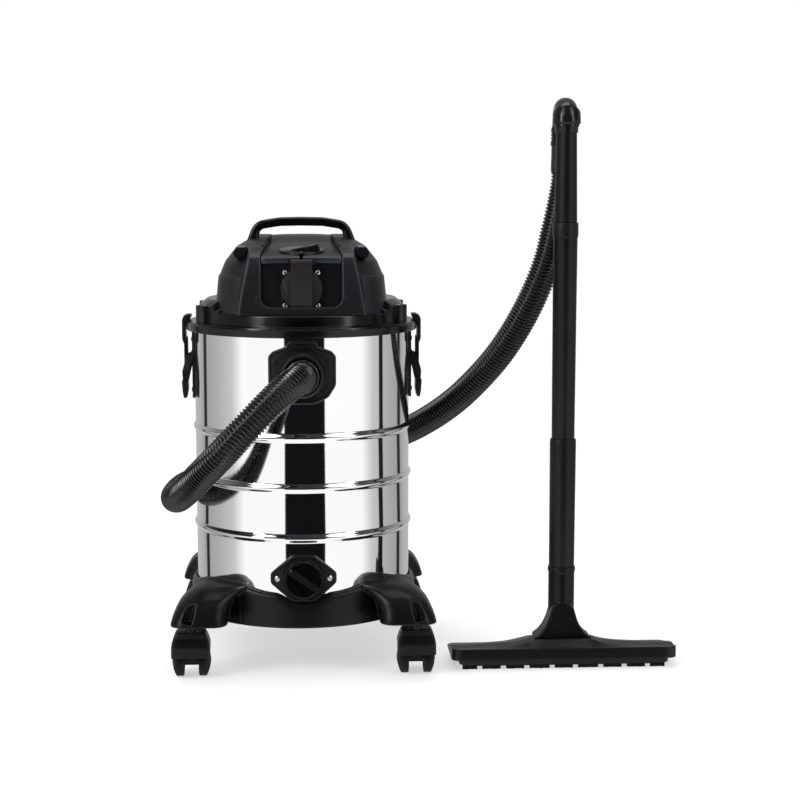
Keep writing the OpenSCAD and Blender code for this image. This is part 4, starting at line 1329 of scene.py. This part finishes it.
def tool_body():
    body = raw("tool_shell", tool_shell(), AT_WAND)
    plinth = raw("plinth", prism(rounded_rect(144.7, 41.7, 10, 0, 0, 6, 2), 7.4, TOOL_BOTTOM + 2), AT_WAND)
    combine(body, [plinth], "UNION")
    # room for the neck's foot through the whole tilt
    cradle = lathe([(0, -FOOT_HALF), (15.5, -FOOT_HALF), (15.5, FOOT_HALF), (0, FOOT_HALF)], 64)
    cuts = [moved(cradle, Matrix.Translation((0, 0, 30)) @ Matrix.Rotation(math.radians(90), 4, "Y")),
            block(-FOOT_HALF, FOOT_HALF, -24.4, 60, 21.5, 60),
            prism(rounded_rect(144.1, 41.1, 10, 0, 0, 6, 2), 0, SOLE_TOP),
            block(-136, 136, -9, 9, 0, 13.4)]
    for c in cuts:
        combine(body, [raw("cut", c, AT_WAND)], "DIFFERENCE")
    soften(body, 0.5, 2, 40)
    return dress(body, "floor_tool", "satin_black", ("tool_body",), 35)


tool_body()


def bristle_rows():
    """Two rows of stiff tufts, with gaps for coarse dirt."""
    dice = random.Random(7)
    tufts = []
    for row in (-33, 33):
        for k in range(112):
            x = -138.75 + 2.5 * k
            low = 0.05 + 0.5 * dice.random()
            if any(abs(x - notch) < 3.7 for notch in NOTCHES):
                low = 4.8
            lean = 0.5 * (dice.random() - 0.5)
            shift = 0.3 * (dice.random() - 0.5)
            top = rounded_rect(1.24, 2.9, 0.6, x, row, 2, 1)
            foot = [(px + lean, row + (py - row) * 0.98 + shift) for px, py in top]
            tufts.append(loft([[(px, py, low) for px, py in foot], [(px, py, 7.45) for px, py in top]]))
    return merged(*tufts)


piece("bristle_rows", bristle_rows(), "floor_tool", "bristle", AT_WAND, ("tool_bristles",), 40)
# rubber strip that backs the tufts, as long as they are
strips = merged(*(block(-139.5, 139.5, row - 3.4, row + 3.4, 4.6, 7.4) for row in (-33, 33)))
piece("bristle_backs", strips, "floor_tool", "bristle", AT_WAND, sharp=35, bevel=0.3)


# ---------------------------------------------------------------- filter
def pleated_paper():
    pleats, rings = 64, []
    for z in (344.2, 461.8):
        ring = []
        for k in range(pleats * 4):
            wave = (0, 1, 1, 0)[k % 4]
            r = 44 + 15.6 * wave
            a = 2 * math.pi * (k + (0.35 if k % 4 in (1, 3) else 0)) / (pleats * 4)
            ring.append((r * math.cos(a), r * math.sin(a), z))
        rings.append(ring)
    outer = loft(rings, caps=False)
    inner = loft([[(43 * math.cos(2 * math.pi * k / 256), 43 * math.sin(2 * math.pi * k / 256), z)
                   for k in range(256)] for z in (344.2, 461.8)], caps=False)
    return merged(outer, inner)


piece("pleated_paper", pleated_paper(), "head", "filter_paper", AT_TANK, (), sharp=25)
end_caps = merged(*(lathe(fillet([(38.3, z0, 0.4), (63.6, z0, 1.2), (63.6, z1, 1.2), (38.3, z1, 0.4)], 3), 96)
                    for z0, z1 in ((338.6, 344.4), (461.6, 467.3))))
piece("filter_end_caps", end_caps, "head", "rubber", AT_TANK, ("filter_cartridge",), 30)


# ---------------------------------------------------------------- stage and light
def world_light():
    world = bpy.data.worlds.new("studio")
    bpy.context.scene.world = world
    world.use_nodes = True
    tree = world.node_tree
    tree.nodes.clear()

    def node(kind, **inputs):
        made = tree.nodes.new(kind)
        for key, value in inputs.items():
            made.inputs[key].default_value = value
        return made

    def calc(operation, a, b=None, clamp=False):
        made = tree.nodes.new("ShaderNodeMath")
        made.operation = operation
        made.use_clamp = clamp
        for socket, value in zip(made.inputs, (a, b)):
            if value is None:
                continue
            if isinstance(value, (int, float)):
                socket.default_value = value
            else:
                tree.links.new(value, socket)
        return made.outputs[0]

    direction = tree.nodes.new("ShaderNodeTexCoord").outputs["Generated"]
    split = tree.nodes.new("ShaderNodeSeparateXYZ")
    tree.links.new(direction, split.inputs[0])
    x, y, z = split.outputs
    azimuth = calc("MULTIPLY", calc("ARCTAN2", x, calc("MULTIPLY", y, -1)), 180 / math.pi)
    elevation = calc("MULTIPLY", calc("ARCSINE", z), 180 / math.pi)
    turned = calc("ABSOLUTE", azimuth)

    def levels(value, stops):
        ramp = tree.nodes.new("ShaderNodeValToRGB")
        elements = ramp.color_ramp.elements
        while len(elements) < len(stops):
            elements.new(0.5)
        for element, (at, level) in zip(elements, stops):
            element.position = at / 180
            element.color = (level, level, level, 1)
        tree.links.new(calc("DIVIDE", value, 180), ramp.inputs["Fac"])
        return ramp.outputs["Color"]

    def within(value, centre, half, sharpness):
        off = calc("SUBTRACT", half, calc("ABSOLUTE", calc("SUBTRACT", value, centre)))
        return calc("MULTIPLY", off, sharpness, True)

    # round the horizon: white panels at both sides, greyer backdrop behind, with thin dark gaps
    horizon = levels(turned, [(0, 1.0), (66, 1.0), (80, 0.58), (100, 0.44), (122, 0.36), (124, 0.02),
                              (129, 0.02),
                              (131, 0.34), (142, 0.44), (180, 0.5)])
    # above it: a dim studio with a softbox high at each side of the camera
    dim = levels(turned, [(0, 0.03), (80, 0.06), (110, 0.18), (140, 0.38), (180, 0.42)])
    boxes = calc("MULTIPLY", within(turned, 50, 20, 0.15), within(elevation, 46, 15, 0.2))
    above = calc("ADD", dim, calc("MULTIPLY", boxes, 2.2))
    rise = calc("MULTIPLY", calc("SUBTRACT", elevation, 3), 0.12, True)
    fall = calc("SUBTRACT", 1, rise)
    ring = calc("ADD", calc("MULTIPLY", horizon, fall), calc("MULTIPLY", above, rise))

    # dark flag towards the camera, low down: it draws the black stripe on the steel
    flag = calc("MULTIPLY", within(azimuth, 2.2, 21.8, 1.2), within(elevation, -6, 22, 0.5))
    gleam = calc("SUBTRACT", 1, flag, True)

    mix = tree.nodes.new("ShaderNodeMix")
    mix.data_type = "RGBA"
    mix.inputs["A"].default_value = (0.006, 0.006, 0.007, 1)
    tree.links.new(gleam, mix.inputs["Factor"])
    tree.links.new(ring, mix.inputs["B"])

    path = tree.nodes.new("ShaderNodeLightPath")
    glossy = node("ShaderNodeBackground", Strength=1.08)
    tree.links.new(mix.outputs["Result"], glossy.inputs["Color"])
    # soft light on everything, more of it from the left, before a white backdrop
    plain = node("ShaderNodeBackground", Color=(1, 1, 1, 1))
    unseen = calc("SUBTRACT", 1, path.outputs["Is Camera Ray"])
    fuller = calc("ADD", 1.0, calc("MULTIPLY", calc("MULTIPLY", x, -0.55), unseen))
    tree.links.new(fuller, plain.inputs["Strength"])
    choose = tree.nodes.new("ShaderNodeMixShader")
    tree.links.new(path.outputs["Is Glossy Ray"], choose.inputs["Fac"])
    tree.links.new(plain.outputs[0], choose.inputs[1])
    tree.links.new(glossy.outputs[0], choose.inputs[2])
    output = tree.nodes.new("ShaderNodeOutputWorld")
    tree.links.new(choose.outputs[0], output.inputs["Surface"])


def area_light(name, at, target, width, height, power):
    data = bpy.data.lights.new(name, "AREA")
    data.shape = "RECTANGLE"
    data.size = width
    data.size_y = height
    data.energy = power
    light = bpy.data.objects.new(name, data)
    light.location = at
    light.rotation_euler = (Vector(target) - Vector(at)).to_track_quat("-Z", "Y").to_euler()
    bpy.context.scene.collection.objects.link(light)
    return light


def floor():
    mesh = bpy.data.meshes.new("floor")
    vertices, faces = lathe([(0, 0), (6000, 0), (6000, -5), (0, -5)], 64)
    mesh.from_pydata([Vector(v) * MM for v in vertices], [], faces)
    obj = bpy.data.objects.new("floor", mesh)
    bpy.context.scene.collection.objects.link(obj)
    s = Shader("pale_floor")
    s.constant(Base_Color=(0.5, 0.5, 0.503, 1), Roughness=0.8, Emission_Color=(1, 1, 1, 1),
               Emission_Strength=0.5)
    # the floor thins out into the backdrop well away from the object
    length = s.tree.nodes.new("ShaderNodeVectorMath")
    length.operation = "LENGTH"
    s.link(s.coords, length.inputs[0])
    fade = s.tree.nodes.new("ShaderNodeMapRange")
    fade.inputs["From Min"].default_value = 0.9
    fade.inputs["From Max"].default_value = 3.2
    fade.inputs["To Min"].default_value = 1
    fade.inputs["To Max"].default_value = 0
    s.link(length.outputs["Value"], fade.inputs["Value"])
    s.link(fade.outputs["Result"], s.bsdf.inputs["Alpha"])
    obj.data.materials.append(s.material)
    obj.visible_glossy = False


world_light()
area_light("key_left", (-1.9, -1.5, 1.7), (-0.15, 0, 0.35), 0.5, 1.5, 26)
area_light("key_right", (1.8, -1.5, 1.6), (0, 0, 0.35), 0.35, 1.5, 11)
area_light("top", (0, 0.3, 2.6), (0, 0, 0.4), 1.6, 1.2, 16)
floor()
bpy.context.scene.view_settings.view_transform = "Standard"
